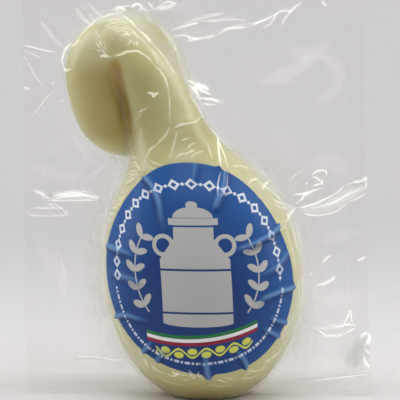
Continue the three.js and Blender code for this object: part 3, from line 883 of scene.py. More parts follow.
def edge_place(x, z):
    """Where a place of the square field lies in the bag: its right edge leans in, and its bottom edge lifts
    a little off the floor beside the cheese, more at the right."""
    share = (x - BAG_LEFT) / (BAG_RIGHT - BAG_LEFT)
    drawn = x - NARROWING * (z / BAG_TOP) * smoothstep(NARROWS_FROM, 1.0, share)
    beside_foot = smoothstep(2, 45, np.abs(x - FOOT_MIDDLE) - FOOT_HALF)
    return drawn, z + np.where(x < 0, *EDGE_LIFTS) * beside_foot * (1 - smoothstep(0, 30, z))


def with_foot(rows):
    """A film's rows, and below them a copy of the lowest for each row that runs under the cheese."""
    return np.vstack([np.repeat(rows[:1], UNDER_ROWS, 0), rows])


def make_film(name, field, lift, outward):
    """One film: the field's surface on the spread grid, and below it rows that run flat under the cheese to
    where the two films meet."""
    x, z = spread(lift)
    y = sample(field, x, z)
    attributes = {
        "white_and_glint": with_foot(sample(FOLD_WHITE_AND_GLINT, x, z)),
        "veil_and_sheen": with_foot(sample(VEIL_AND_SHEEN, x, z)),
        "cling": with_foot(smoothstep(*CLING_LIFTS, sample(lift, x, z))),
    }
    plane_y = sample(MIDDLE, x[0], z[0]) + SHIFT_Y
    out = 1 - np.linspace(1, 0, UNDER_ROWS, endpoint=False)[:, None]
    under_y = plane_y[None, :] + (y[0] - plane_y)[None, :] * out
    x, z, y = with_foot(x), with_foot(z), np.vstack([under_y, y])
    across, up = edge_place(x, z)
    points = np.stack([across, y, np.maximum(up, FLOOR_GAP)], axis=-1).reshape(-1, 3)
    from_edge = np.minimum(np.minimum(x - BAG_LEFT, BAG_RIGHT - x), np.minimum(z, BAG_TOP - z))
    attributes["weld"] = 1 - smoothstep(SEAL - SEAL_EDGE, SEAL, from_edge)
    faces = grid_faces(x.shape[0], x.shape[1], False)
    if outward > 0:
        faces = faces[:, ::-1]
    uv = np.stack([x, z], axis=-1).reshape(-1, 2) / UV_SPAN
    return mesh_object(name, points, faces, uv, attributes)


# ---- The label ----

LABEL_TURN = -0.0653  # turn of its middle about the body's axis, in radians
LABEL_MIDDLE = 58.73  # height of its middle
LABEL_ACROSS = 47.4  # half widths of the flat label
LABEL_UP = 46.2
LABEL_LEAN = -0.027
LABEL_OFF = 0.12
LABEL_THICK = 0.14
LABEL_RINGS = 88
LABEL_SPOKES = 540
LABEL_SLOPE_STEP = 0.6

# The rim is not quite an oval: shares by which it swells and shrinks, three, four and five times round.
RIM_SWELLS = ((3, -0.0227, -0.0228), (4, 0.0315, -0.0076), (5, 0.0043, 0.0))
# Tips where the rim is pinched into a pleat and stands proud: angle in degrees from the right, reach, half
# width.
RIM_TIPS = (
    (170.4, 2.4, 2.6), (206.9, 3.4, 1.3), (234.0, 0.9, 1.6), (244.4, 0.8, 1.4),
    (272.2, 3.0, 3.0), (291.8, 1.8, 1.8), (321.0, 1.0, 1.2), (329.8, 1.5, 1.8),
    (350.0, 2.5, 2.4), (23.7, 3.2, 1.5), (70.7, 1.4, 2.0), (113.4, 0.7, 1.8),
)
ROUND_SHARE = 0.97  # length of the body's level ellipse as a share of a circle's
MERIDIAN_Z = np.linspace(0.5, 122, 600)
MERIDIAN_STEPS = np.hypot(np.diff(MERIDIAN_Z), BODY_DEPTH * np.diff(body_at(MERIDIAN_Z)[1]))
MERIDIAN_ARC = np.concatenate([[0], np.cumsum(MERIDIAN_STEPS)])
MERIDIAN_ARC -= np.interp(LABEL_MIDDLE, MERIDIAN_Z, MERIDIAN_ARC)


def label_place(s, t):
    """x and z on the body for a place on the flat label: t is laid off along the front meridian, s round
    the body."""
    z = np.interp(t, MERIDIAN_ARC, MERIDIAN_Z)
    middle, radius = body_at(z)
    turn = LABEL_TURN + s / (radius * ROUND_SHARE)
    return middle + radius * np.sin(turn), z


def rim_reach(spoke):
    """How far the rim reaches along each spoke, as a share of the oval: swells by sines, and pointed
    tips."""
    reach = np.ones(LABEL_SPOKES)
    for times, with_cosine, with_sine in RIM_SWELLS:
        reach += with_cosine * np.cos(times * spoke) + with_sine * np.sin(times * spoke)
    for degrees, tip, width in RIM_TIPS:
        away = (spoke - math.radians(degrees) + math.pi) % (2 * math.pi) - math.pi
        reach += tip / LABEL_UP * np.clip(1 - np.abs(away) * LABEL_UP / width, 0, 1) ** 1.3
    return reach


def make_label():
    """The label: rings and spokes of a leaning oval with pinched tips, laid on the front film with its
    pleats. The rings run out along the sticky side, round the rim and back in over the print."""
    spoke = full_turn(LABEL_SPOKES)
    reach = rim_reach(spoke)
    ring = np.sin(np.linspace(0, math.pi / 2, LABEL_RINGS + 1))
    radial = np.concatenate([ring, ring[::-1]])[:, None]
    sticky, printed = np.full(len(ring), LABEL_OFF), np.full(len(ring), LABEL_OFF + LABEL_THICK)
    off = np.concatenate([sticky, printed])[:, None]
    t = LABEL_UP * radial * reach * np.sin(spoke)
    s = LABEL_ACROSS * radial * reach * np.cos(spoke) + LABEL_LEAN * t
    x, z = label_place(s, t)
    slope_x, slope_z = slopes(FRONT_Y, x, z, LABEL_SLOPE_STEP)
    normal = unit(np.stack([slope_x, -np.ones_like(slope_x), slope_z], axis=-1))
    points = np.stack([x, sample(FRONT_Y, x, z), z], axis=-1) + normal * off[..., None]
    uv = np.stack([s, t], axis=-1).reshape(-1, 2) / UV_SPAN
    edge = np.repeat(np.concatenate([np.ones(len(ring)), np.zeros(len(ring))]), LABEL_SPOKES)
    # ridge and hollow carry the painted highlight along each pleat and the painted shade below it.
    tones = {"under": edge, "ridge": sample(PAINTED_PLEAT_LIGHT, x, z), "hollow": sample(PAINTED_PLEAT_SHADE, x, z)}
    faces = grid_faces(len(radial), LABEL_SPOKES, True)
    return mesh_object("label_print", points.reshape(-1, 3), faces, uv, tones)


# ---- The creases ----

CREASE_ROUND = 7  # points over the top of a crease, from side to side
CREASE_STEPS = 7
CREASE_SPREAD = 1.6  # half width of the ridge's foot, in half widths of the row
CREASE_WANDER = 0.16
CREASE_VARIES = 0.3  # share by which a crease swells and shrinks along its way
CREASE_OFF = 0.03  # from the film
CREASE_OVER_LABEL = 0.34  # the same where it passes over the label
CREASE_DEEP = 0.02  # how far it reaches under its foot
CREASE_SLOPE_STEP = 0.5
CREASE_LOWEST = 0.4
OVER_LABEL = (41.0, 45.0)  # half widths of the part of the label that creases pass over
BACK_HEIGHTS = (8, 164)  # the back's creases, placed by chance: ranges of their measures
BACK_LENGTHS = (4, 15)
BACK_BENDS = (-0.12, 0.12)
BACK_WIDTHS = (0.2, 0.42)
BACK_RISES = (0.14, 0.26)
BACK_WHITES_AND_GLINTS = (0.3, 0.75)
BACK_LEAN = 0.35
SHOULDER = (98, 128)  # heights between which they slant
SHOULDER_SLANT = 0.9


def wander(draw, count, step):
    """A smooth random run from about -1 to 1: random knots every few places, joined by cosines."""
    knots = draw.uniform(-1, 1, count // step + 2)
    at = np.arange(count) / step
    piece = at.astype(int)
    share = (1 - np.cos((at - piece) * math.pi)) / 2
    return knots[piece] * (1 - share) + knots[piece + 1] * share


def back_creases(seed, count):
    """Creases of the back film, placed by chance: upright ones down the sides and slanting ones on the
    shoulders."""
    draw = np.random.default_rng(seed)
    rows = []
    while len(rows) < count:
        z = draw.uniform(*BACK_HEIGHTS)
        covered = FIELD_X[COVERED[int(z / FIELD_PITCH)]]
        if not len(covered):
            continue
        middle, half = (covered[0] + covered[-1]) / 2, (covered[-1] - covered[0]) / 2
        side = draw.choice((-1.0, 1.0))
        x = middle + side * half * draw.uniform(0.15, 0.98) ** 0.6
        on_shoulder = SHOULDER[0] < z < SHOULDER[1]
        lean = draw.normal(0, BACK_LEAN) + (SHOULDER_SLANT * side if on_shoulder else 0.0)
        length = draw.uniform(*BACK_LENGTHS)
        step = length / 3 * np.array([math.sin(lean), math.cos(lean)])
        bend = draw.uniform(*BACK_BENDS) * length * np.array([math.cos(lean), -math.sin(lean)])
        start = np.array([x, z]) - 1.5 * step
        path = np.array([start + k * step + bend * (k * (3 - k) / 2) for k in range(4)])
        rows.append((path, *(draw.uniform(*span) for span in (BACK_WIDTHS, BACK_RISES, BACK_WHITES_AND_GLINTS))))
    return rows


def crease_ridge(draw, row, field, outward):
    """One crease: a rounded ridge along its path on a film, closed beneath, that tapers to its ends and
    varies a little in width, height and line. It is white along its top, partly stress whitening and partly
    a painted glint, and clear at its foot."""
    path, width, height, milky = row
    line = through(path, CREASE_STEPS)
    ahead = unit(np.gradient(line, axis=0))
    shift = CREASE_WANDER * wander(draw, len(line), 4)
    x = line[:, 0] - ahead[:, 1] * shift
    z = np.maximum(line[:, 1] + ahead[:, 0] * shift, CREASE_LOWEST)
    share = np.linspace(0.0, 1.0, len(line))
    taper = np.sin(share * math.pi) ** 0.5 * (1 + CREASE_VARIES * wander(draw, len(line), 5)) + 0.001
    slope_x, slope_z = slopes(field, x, z, CREASE_SLOPE_STEP)
    out = unit(-outward * np.stack([slope_x, -np.ones_like(x), slope_z], axis=-1))
    climb = slope_x * ahead[:, 0] + slope_z * ahead[:, 1]
    side = np.cross(unit(np.stack([ahead[:, 0], climb, ahead[:, 1]], axis=-1)), out)
    half_s, half_t = OVER_LABEL
    on_label = ((x / half_s) ** 2 + ((z - LABEL_MIDDLE) / half_t) ** 2 < 1) & (outward < 0)
    off = np.where(on_label, CREASE_OVER_LABEL, CREASE_OFF)[:, None]
    across, up = edge_place(x, z)
    middle = (np.stack([across, sample(field, x, z), up], axis=-1) + out * off)[:, None, :]
    u = np.linspace(-1, 1, CREASE_ROUND)
    sideways = side[:, None, :] * (CREASE_SPREAD * width * taper)[:, None, None] * u[None, :, None]
    proud = out[:, None, :] * (height * taper)[:, None, None] * (1 - u[None, :, None] ** 2)
    under = middle - out[:, None, :] * CREASE_DEEP
    points = np.concatenate([middle + sideways + proud, under], axis=1)
    crest = np.concatenate([(1 - u**2) ** 0.8, [0.0]])
    return points.reshape(-1, 3), np.outer(milky * np.clip(taper * 1.2, 0, 1), crest).ravel()


def make_creases(name, table, field, outward):
    """All creases of one film as one mesh of ridges. Outward is -1 at the front."""
    draw = np.random.default_rng(11)
    ridges = [crease_ridge(draw, row, field, outward) for row in table]
    faces = []
    count = 0
    for points, _ in ridges:
        faces.append(grid_faces(len(points) // (CREASE_ROUND + 1), CREASE_ROUND + 1, True) + count)
        count += len(points)
    points = np.vstack([points for points, _ in ridges])
    white_and_glint = np.concatenate([crest for _, crest in ridges])
    return mesh_object(name, points, np.vstack(faces), None, {"white_and_glint": white_and_glint})


# ---- Materials ----


def linear(red, green, blue):
    """A colour given as 0 to 255 on screen, as the light it stands for."""
    share = np.array([red, green, blue]) / 255
    light = np.where(share <= 0.04045, share / 12.92, ((share + 0.055) / 1.055) ** 2.4)
    return (*light.tolist(), 1.0)


class Nodes:
    """Short ways to add nodes to one material."""

    def __init__(self, name):
        self.material = bpy.data.materials.new(name)
        self.material.use_nodes = True
        self.tree = self.material.node_tree
        self.tree.nodes.clear()

    def add(self, kind, **settings):
        """A new node of that kind, with its settings."""
        node = self.tree.nodes.new("ShaderNode" + kind)
        for key, value in settings.items():
            setattr(node, key, value)
        return node

    def put(self, socket, value):
        """A link from another node's output, or else a constant, into an input."""
        if isinstance(value, bpy.types.NodeSocket):
            self.tree.links.new(value, socket)
        else:
            socket.default_value = value

    def fill(self, node, **values):
        """Each value put into the input of its name, where _ stands for a space; gives the node's first
        output."""
        for key, value in values.items():
            self.put(node.inputs[key.replace("_", " ")], value)
        return node.outputs[0]

    def shader(self, kind, **values):
        """A shader's output, with its inputs filled by name."""
        return self.fill(self.add("Bsdf" + kind), **values)

    def blend(self, share, first, second):
        """The first shader and, by the share, the second."""
        node = self.add("MixShader")
        for socket, value in zip(node.inputs, (share, first, second)):
            self.put(socket, value)
        return node.outputs[0]

    def math(self, operation, *values, clamp=False):
        """The result of a math operation on the values."""
        node = self.add("Math", operation=operation, use_clamp=clamp)
        for socket, value in zip(node.inputs, values):
            self.put(socket, value)
        return node.outputs[0]

    def scaled(self, value, factor, offset=0.0, clamp=False):
        """The value times the factor, plus the offset."""
        return self.math("MULTIPLY_ADD", value, factor, offset, clamp=clamp)

    def mix(self, share, first, second):
        """The first colour and, by the share, the second."""
        node = self.add("Mix", data_type="RGBA")
        share_in, first_in, second_in = node.inputs[0], node.inputs[6], node.inputs[7]
        for socket, value in ((share_in, share), (first_in, first), (second_in, second)):
            self.put(socket, value)
        return node.outputs[2]

    def noise(self, place, scale, detail):
        """Cloudy noise from 0 to 1, finer the larger the scale."""
        return self.fill(self.add("TexNoise"), Vector=place, Scale=scale, Detail=detail, Roughness=0.5)

    def objects_place(self, stretch=(1, 1, 1), turn=(0, 0, 0)):
        """The place on the object, turned and stretched."""
        place = self.add("TexCoord").outputs["Object"]
        return self.fill(self.add("Mapping"), Vector=place, Rotation=turn, Scale=stretch)

    def bump(self, height, strength, distance, **before):
        """The normal bumped by a height, starting from another normal if one is given as Normal."""
        return self.fill(self.add("Bump"), Height=height, Strength=strength, Distance=distance, **before)

    def attribute(self, name):
        """A float that the mesh carries."""
        return self.add("Attribute", attribute_name=name).outputs["Fac"]

    def finish(self, shader):
        """The material, with that shader as its surface."""
        self.put(self.add("OutputMaterial").inputs["Surface"], shader)
        return self.material


def cheese_material():
    """Pale ivory stretched curd: soft light under the skin, mottled colour, fine stretch lines and slight
    lumps, with painted shade, browner, in the folds and at the foot, and painted shade, duller green, where a
    neighbour shades it."""
    n = Nodes("cheese_curd")
    ivory, pale_ivory, dark_ivory = linear(206, 202, 136), linear(214, 211, 150), linear(198, 193, 124)
    painted_shade_ochre, painted_shade_brown, painted_shade_green = linear(174, 146, 28), linear(150, 102, 8), linear(176, 169, 96)
    place = n.objects_place()
    mottle = n.noise(place, 45, 4)
    streaks = n.noise(n.objects_place(stretch=(1, 1, 0.25)), 160, 2)
    painted_brown_shade = n.attribute("painted_brown_shade")
    base = n.mix(mottle, ivory, pale_ivory)
    base = n.mix(n.scaled(streaks, 0.35), base, dark_ivory)
    # Painted shade in the folds and at the foot, browner and darker.
    base = n.mix(n.scaled(painted_brown_shade, 0.95, clamp=True), base, painted_shade_ochre)
    base = n.mix(n.scaled(painted_brown_shade, 0.8, -1.0, clamp=True), base, painted_shade_brown)
    # Painted shade, duller green, where a neighbour shades the cheese.
    base = n.mix(n.scaled(n.attribute("shade"), 1.0, clamp=True), base, painted_shade_green)
    lines = n.noise(n.objects_place(stretch=(0.35, 1, 2.2), turn=(0, 0.5, 0)), 420, 2)
    lumpy = n.bump(n.noise(place, 90, 2), 0.25, 0.0012)
    skin = n.shader(
        "Principled",
        Base_Color=base,
        Roughness=0.5,
        Subsurface_Weight=0.4,
        Subsurface_Radius=(1.0, 0.75, 0.4),
        Subsurface_Scale=0.003,
        Specular_IOR_Level=0.3,
        Normal=n.bump(lines, 0.22, 0.0004, Normal=lumpy),
    )
    return n.finish(skin)


def film_material():
    """Clear film: see-through, with a gloss that grows towards grazing, softer and finely wrinkled where it
    clings, brighter and white where it is folded, partly stress whitening and partly painted highlight, and
    cloudy in patches that are partly painted sheen."""
    n = Nodes("clear_film")
    cling, white_and_glint = n.attribute("cling"), n.attribute("white_and_glint")
    crinkle = n.bump(n.noise(n.objects_place(), 70, 3), 0.16, 0.0012)
    fine = n.noise(n.objects_place(stretch=(1, 1, 0.4), turn=(0, 0.5, 0)), 380, 2)
    bumped = n.bump(n.math("MULTIPLY", fine, cling), 0.2, 0.0004, Normal=crinkle)
    facing = n.add("LayerWeight")
    n.fill(facing, Blend=0.5)
    shine = n.scaled(n.math("POWER", facing.outputs["Facing"], 3.0), 0.6, 0.02)
    shine = n.scaled(cling, 0.03, shine)
    shine = n.scaled(white_and_glint, 0.42, shine, clamp=True)
    rough = n.scaled(white_and_glint, 0.14, n.scaled(cling, 0.18, 0.15))
    gloss = n.shader("Glossy", Color=(1, 1, 1, 1), Roughness=rough, Normal=bumped)
    clear = n.shader("Transparent", Color=(0.995, 0.995, 0.993, 1))
    milky = linear(250, 250, 248)
    white = n.blend(0.3, n.shader("Diffuse", Color=milky), n.shader("Translucent", Color=milky))
    # White patches from fine wrinkles and painted sheen, broken up by stretched noise.
    wrinkles = n.noise(n.objects_place(stretch=(1, 1, 0.35), turn=(0, 0.6, 0)), 330, 3)
    veil_and_sheen = n.math("MULTIPLY", n.attribute("veil_and_sheen"), n.scaled(wrinkles, 1.0, 0.5))
    haze = n.math("ADD", n.scaled(white_and_glint, 0.6, 0.012), n.scaled(cling, 0.012, veil_and_sheen))
    haze = n.scaled(n.attribute("weld"), 0.03, haze, clamp=True)
    return n.finish(n.blend(haze, n.blend(shine, clear, gloss), white))


def crease_material():
    """Film pressed into a sharp crease: white along its top, partly stress whitening and partly a painted
    glint, as a diffuse and a translucent white added so that it gives back more light than falls on it; clear
    at its foot, a little glossy."""
    n = Nodes("creased_film")
    # Painted glint: a diffuse and a translucent white added together, brighter than a lit white.
    white = n.add("AddShader")
    n.put(white.inputs[0], n.shader("Diffuse", Color=linear(253, 253, 252)))
    n.put(white.inputs[1], n.shader("Translucent", Color=linear(240, 240, 239)))
    gloss = n.shader("Glossy", Color=(1, 1, 1, 1), Roughness=0.22)
    clear = n.shader("Transparent", Color=(1, 1, 1, 1))
    lit = n.blend(0.15, white.outputs[0], gloss)
    return n.finish(n.blend(n.scaled(n.attribute("white_and_glint"), 0.54, 0.02, clamp=True), clear, lit))


class Print:
    """Flat shapes printed on the label, as masks from 0 to 1 with an edge about a tenth of a millimetre
    soft. A place is s to the right and t up from the label's middle, and each shape is given by its middle
    and half widths."""

    SHARP = 9.0  # how fast a mask falls at its edge, per millimetre

    def __init__(self, nodes):
        self.n = n = nodes
        split = n.add("SeparateXYZ")
        n.put(split.inputs[0], n.add("UVMap", uv_map="flat").outputs[0])
        self.s = n.math("MULTIPLY", split.outputs[0], UV_SPAN)
        self.t = n.math("MULTIPLY", split.outputs[1], UV_SPAN)
        self.mirrored = n.math("ABSOLUTE", self.s)
        self.from_middle = self.length(self.t, self.s)
        self.angle = n.math("ARCTAN2", self.t, self.s)

    def length(self, u, v):
        """The square root of u^2 + v^2."""
        return self.n.math("SQRT", self.n.scaled(u, u, self.n.math("MULTIPLY", v, v)))

    def within(self, distance, edge):
        """1 where the distance is less than the edge."""
        return self.n.scaled(distance, -self.SHARP, edge * self.SHARP + 0.5, clamp=True)

    def band(self, value, middle, half):
        """1 where the value is less than half a width from the middle."""
        return self.within(self.n.math("ABSOLUTE", self.n.math("SUBTRACT", value, middle)), half)

    def both(self, *masks):
        """1 where every mask is."""
        return self.combine("MINIMUM", masks)

    def either(self, *masks):
        """1 where any mask is."""
        return self.combine("MAXIMUM", masks)

    def combine(self, operation, masks):
        """The operation on the first two masks, then on its result and the next, and so on."""
        result = masks[0]
        for mask in masks[1:]:
            result = self.n.math(operation, result, mask)
        return result

    def without(self, mask, hole):
        """The mask with a hole in it."""
        return self.n.math("MULTIPLY", mask, self.n.math("SUBTRACT", 1.0, hole))

    def box(self, u, v, at_u, at_v, half_u, half_v):
        """1 within a rectangle."""
        return self.both(self.band(u, at_u, half_u), self.band(v, at_v, half_v))

    def oval(self, u, v, at_u, at_v, half_u, half_v):
        """1 within an ellipse: its scaled distance is brought back to millimetres by its smaller half
        width."""
        a = self.n.scaled(u, 1 / half_u, -at_u / half_u)
        b = self.n.scaled(v, 1 / half_v, -at_v / half_v)
        size = min(half_u, half_v)
        return self.within(self.n.math("MULTIPLY", self.length(a, b), size), size)

    def repeated(self, value, period):
        """The value wrapped to run from minus to plus half a period, over and over."""
        return self.n.math("WRAP", value, period / 2, -period / 2)

    def ring_place(self, radius):
        """Along and across a ring round the label's middle, in millimetres."""
        along = self.n.math("MULTIPLY", self.angle, radius)
        across = self.n.math("SUBTRACT", self.from_middle, radius)
        return along, across


def churn(p):
    """A milk churn seen from the side: body, sloping shoulders, neck, lid, two handles, and three bands
    left bare."""
    body_half, neck_half, lip_half = 14.5, 8.2, 10.2
    handle = (p.mirrored, p.t, 12.8, 11.4)
    body = p.box(p.mirrored, p.t, 0, -8.0, body_half, 13.5)
    foot = p.oval(p.mirrored, p.t, 0, -21.3, body_half, 1.8)
    slope = p.n.scaled(p.t, -0.72, 18.4)
    shoulder = p.both(p.within(p.n.math("SUBTRACT", p.mirrored, slope), 0.0), p.band(p.t, 9.7, 4.6))
    neck = p.box(p.mirrored, p.t, 0, 17.0, neck_half, 4.0)
    lip = p.box(p.mirrored, p.t, 0, 21.6, lip_half, 1.4)
    lid = p.both(p.oval(p.mirrored, p.t, 0, 23.4, neck_half, 4.6), p.band(p.t, 28.6, 5.4))
    knob = p.oval(p.mirrored, p.t, 0, 28.8, 2.4, 1.7)
    handles = p.without(p.oval(*handle, 4.8, 4.8), p.oval(*handle, 3.0, 3.0))
    solid = p.either(body, foot, shoulder, neck, lip, lid, knob, handles)
    bands = p.either(p.band(p.t, 1.2, 0.45), p.band(p.t, -17.0, 0.45), p.band(p.t, 19.6, 0.4))
    return p.without(solid, bands)


LEAVES_ROUND = 27.0  # radius of the arc that the leaves stand on
LEAF_PERIOD = 7.6
LEAF_TURN = (0.82, 0.57)  # cosine and sine of a leaf's lean


def laurel(p):
    """Leaves in pairs up both sides of the churn: one leaf shape repeated along an arc, leaning to both
    sides."""
    n = p.n
    cosine, sine = LEAF_TURN
    along = n.math("MULTIPLY", n.math("ARCTAN2", p.t, p.mirrored), LEAVES_ROUND)
    out = n.math("ABSOLUTE", n.math("SUBTRACT", p.from_middle, LEAVES_ROUND))
    step = p.repeated(along, LEAF_PERIOD)
    u = n.scaled(step, cosine, n.math("MULTIPLY", out, -sine))
    v = n.scaled(step, sine, n.math("MULTIPLY", out, cosine))
    leaf = p.both(p.oval(u, v, 0.0, 3.0, 1.5, 3.0), p.band(along, 1.0, 18.0), p.within(out, 6.2))
    stem = p.both(p.within(out, 0.35), p.band(along, -1.6, 17.0))
    return p.either(leaf, stem)


LOZENGES_ROUND = 38.6
LOZENGE_PERIOD = 7.4
LOZENGES_FROM = -5.0  # the border runs over everything above this height


def ring_of_lozenges(p):
    """A border round the upper rim: bold open lozenges with a small solid one between each two."""
    n = p.n
    along, across = p.ring_place(LOZENGES_ROUND)
    step = n.math("ABSOLUTE", p.repeated(along, LOZENGE_PERIOD))
    out = n.math("ABSOLUTE", across)
    outline = p.band(n.math("ADD", step, out), 2.0, 0.75)
    aside = n.math("ABSOLUTE", n.math("SUBTRACT", step, LOZENGE_PERIOD / 2))
    small = p.within(n.math("ADD", aside, out), 0.95)
    upper = p.within(n.math("MULTIPLY", p.t, -1.0), -LOZENGES_FROM)
    return p.both(p.either(outline, small), upper)


DASHES_ROUND = 40.6
DASH_PERIOD = 4.6
DASHES_TO = -8.0


def ring_of_dashes(p):
    """A finer border round the lower rim: short dashes with a dot between each two."""
    along, across = p.ring_place(DASHES_ROUND)
    step = p.repeated(along, DASH_PERIOD)
    dash = p.box(step, across, 0.0, 0.0, 1.1, 0.65)
    dot = p.box(p.n.math("ABSOLUTE", step), across, DASH_PERIOD / 2, 0.0, 0.45, 0.65)
    return p.both(p.either(dash, dot), p.within(p.t, DASHES_TO))


STRIPE_LOW = -29.2
STRIPE_CLIMB = 0.079
STRIPE_BEND = 0.0067
STRIPE_HALF = 24.0
STRIPE_WIDTH = 1.65
VINE_DROP = 6.0
VINE_WAVE = 11.4
VINE_HALF = 20.8


def stripe_height(p):
    """How far a place is above the stripe's middle line, a shallow parabola that climbs to the right."""
    line = p.n.scaled(p.s, p.n.scaled(p.s, STRIPE_BEND, STRIPE_CLIMB), STRIPE_LOW)
    return p.n.math("SUBTRACT", p.t, line)


def vine(p, above):
    """A waving vine with a leaf in every bend, below the stripe."""
    n = p.n
    low = n.math("ADD", above, VINE_DROP)
    wave = n.math("MULTIPLY", n.math("SINE", n.math("MULTIPLY", p.s, 2 * math.pi / VINE_WAVE)), 2.0)
    stem = p.band(n.math("SUBTRACT", low, wave), 0.0, 0.55)
    step = p.repeated(p.s, VINE_WAVE)
    bend = VINE_WAVE / 4
    leaves = p.either(p.oval(step, low, bend, -0.9, 2.0, 1.6), p.oval(step, low, -bend, 0.9, 2.0, 1.6))
    return p.both(p.either(stem, leaves), p.band(p.s, 2.0, VINE_HALF))


GROUND_MIDDLE = (-3.0, -14.0)  # s and t of the middle of the navy part
GROUND_FLAT = 0.9  # distances upwards from it count for this share
NAVY_TO = 20.0  # the ground is navy up to this distance, and blue from the next one on
BLUE_FROM = 44.0


def label_ground(p):
    """The label's ground: mottled blue, darker round a place below the middle, by the distance from it."""
    n = p.n
    blue, light_blue, navy = linear(40, 86, 150), linear(46, 95, 162), linear(39, 66, 124)
    mottled = n.mix(n.noise(n.objects_place(), 30, 2), blue, light_blue)
    at_s, at_t = GROUND_MIDDLE
    out = p.length(n.scaled(p.s, 1.0, -at_s), n.scaled(p.t, GROUND_FLAT, -at_t * GROUND_FLAT))
    fade = BLUE_FROM - NAVY_TO
    return n.mix(n.scaled(out, -1 / fade, BLUE_FROM / fade, clamp=True), mottled, navy)


def label_material():
    """Printed glossy sticker: a blue ground, a churn between leaves, a three-coloured stripe, a vine and
    borders, with painted highlights and painted shade at its pleats."""
    n = Nodes("label_sticker")
    p = Print(n)
    grey, paper = linear(190, 190, 188), linear(215, 218, 222)
    pale, paler = linear(206, 216, 232), linear(220, 227, 238)
    green, white, red = linear(50, 124, 78), linear(244, 244, 242), linear(150, 48, 66)
    lime, painted_shade_blue, painted_gleam_blue = linear(220, 226, 96), linear(22, 44, 104), linear(120, 176, 226)
    ink = n.mix(p.either(churn(p), laurel(p)), label_ground(p), grey)
    ink = n.mix(ring_of_lozenges(p), ink, paler)
    ink = n.mix(ring_of_dashes(p), ink, pale)
    above = stripe_height(p)
    ends = p.band(p.s, 1.2, STRIPE_HALF)
    for middle, colour in ((STRIPE_WIDTH, green), (0.0, white), (-STRIPE_WIDTH, red)):
        ink = n.mix(p.both(p.band(above, middle, STRIPE_WIDTH / 2), ends), ink, colour)
    ink = n.mix(vine(p, above), ink, lime)
    ink = n.mix(n.attribute("under"), ink, paper)
    # Painted shade below each pleat and painted highlight along its top.
    ridge = n.attribute("ridge")
    ink = n.mix(n.math("MULTIPLY", n.attribute("hollow"), 0.6), ink, painted_shade_blue)
    ink = n.mix(n.math("MULTIPLY", ridge, 0.55), ink, painted_gleam_blue)
    sheen = n.shader(
        "Principled",
        Base_Color=ink,
        Roughness=0.5,
        Specular_IOR_Level=0.1,
        Coat_Weight=n.scaled(ridge, 0.6, 0.12),
        Coat_Roughness=0.14,
        Normal=n.bump(n.noise(n.objects_place(), 160, 3), 0.18, 0.0008),
    )
    return n.finish(sheen)


def stage_material():
    """Pale matt card with a trace of grain."""
    n = Nodes("pale_card")
    base = n.mix(n.noise(n.objects_place(), 60, 3), linear(229, 227, 227), linear(235, 233, 233))
    return n.finish(n.shader("Principled", Base_Color=base, Roughness=0.85, Specular_IOR_Level=0.1))


# ---- Pieces ----


def dress(piece, material):
    """The piece in its material, and riding on the one body."""
    piece.data.materials.append(material)
    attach(piece, ROOT)


cheese = make_cheese()
dress(cheese, cheese_material())

clear_film = film_material()
film_front = make_film("film_front", FRONT_Y, LIFT_FRONT, -1)
film_back = make_film("film_back", BACK_Y, LIFT_BACK, 1)
dress(film_front, clear_film)
dress(film_back, clear_film)

creased_film = crease_material()
creases_front = make_creases("creases_front", CREASES, FRONT_Y, -1)
creases_back = make_creases("creases_back", back_creases(5, 110), BACK_Y, 1)
dress(creases_front, creased_film)
dress(creases_back, creased_film)

label = make_label()
dress(label, label_material())

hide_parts("sealed_bag")
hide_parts("label")

# ---- Stage, lights and camera ----

FLOOR_REACH = 1.3
COVE = 0.4
WALL_TOP = 1.5
CAMERA_UP = 5.0  # degrees above the horizon
CAMERA_AWAY = 0.8
SENSOR = 36.0
PICTURE_WIDTH = 0.175  # of what the camera sees at the object
AIM = Vector((0.0013, 0.0, 0.0858))
ROOM_COLOUR = (0.95, 0.97, 1.0, 1)
ROOM_LIGHT = 0.06


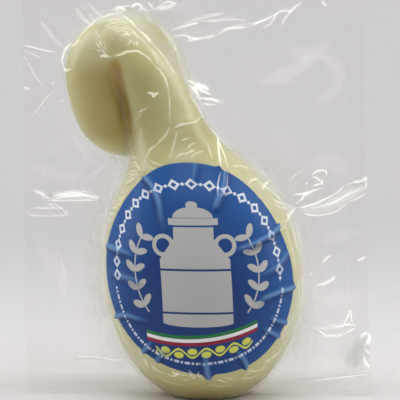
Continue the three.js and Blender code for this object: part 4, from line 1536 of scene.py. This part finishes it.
def make_stage():
    """Floor, cove and wall in one round sweep: a straight, a quarter circle and a straight, turned about
    the upright axis, so that every side of the object has the same pale ground."""
    bend = np.linspace(0, math.pi / 2, 24)
    floor = np.concatenate([[0.0], np.linspace(0.1, FLOOR_REACH, 12)[:-1]])
    wall = FLOOR_REACH + COVE
    out = np.concatenate([floor, FLOOR_REACH + COVE * np.sin(bend), [wall]])
    rise = np.concatenate([np.zeros(len(floor)), COVE * (1 - np.cos(bend)), [WALL_TOP]])
    turn = full_turn(96)
    x = out[:, None] * np.cos(turn)
    y = out[:, None] * np.sin(turn)
    z = np.broadcast_to(rise[:, None], x.shape)
    points = np.stack([x, y, z], axis=-1).reshape(-1, 3) / MM
    sweep = mesh_object("stage_sweep", points, grid_faces(len(out), len(turn), True))
    sweep.data.materials.append(stage_material())


def area_light(name, place, aim, width, height, power):
    """A flat softbox at a place, facing the place it aims at."""
    lamp = bpy.data.lights.new(name, "AREA")
    lamp.shape = "RECTANGLE"
    lamp.size = width
    lamp.size_y = height
    lamp.energy = power
    thing = into_scene(name, lamp)
    thing.location = place
    thing.rotation_euler = (Vector(aim) - Vector(place)).to_track_quat("-Z", "Y").to_euler()


def make_lights():
    """One softbox overhead, a strip at each side, two washes on the wall, and a faint even light all
    round."""
    area_light("top_softbox", (0.0, -0.2, 0.75), (0, 0.0, 0.1), 0.7, 0.5, 3.0)
    area_light("wall_wash", (0.0, 1.05, 1.25), (0, 1.6, 0.1), 1.6, 0.3, 8.0)
    area_light("left_strip", (-0.75, 0.05, 0.45), (0, 0, 0.09), 0.35, 0.8, 2.4)
    area_light("right_strip", (0.75, 0.05, 0.45), (0, 0, 0.09), 0.35, 0.8, 2.9)
    area_light("front_wash", (0.0, -1.05, 1.25), (0, -1.6, 0.1), 1.6, 0.3, 2.2)
    world = bpy.data.worlds.new("soft_room")
    world.use_nodes = True
    room = world.node_tree.nodes["Background"]
    room.inputs["Color"].default_value = ROOM_COLOUR
    room.inputs["Strength"].default_value = ROOM_LIGHT
    bpy.context.scene.world = world


def make_camera():
    """The camera, on a line through the place it aims at, with a lens that takes in the picture's width
    there."""
    lens = bpy.data.cameras.new("camera")
    lens.sensor_width = SENSOR
    lens.lens = SENSOR * CAMERA_AWAY / PICTURE_WIDTH
    up = math.radians(CAMERA_UP)
    towards = Vector((0.0, math.cos(up), -math.sin(up)))
    thing = into_scene("camera", lens)
    thing.location = AIM - towards * CAMERA_AWAY
    thing.rotation_euler = towards.to_track_quat("-Z", "Y").to_euler()
    bpy.context.scene.camera = thing


make_stage()
make_lights()
make_camera()
bpy.context.scene.view_settings.view_transform = "Standard"
bpy.context.scene.view_settings.look = "None"
bpy.context.scene.cycles.transparent_max_bounces = 16
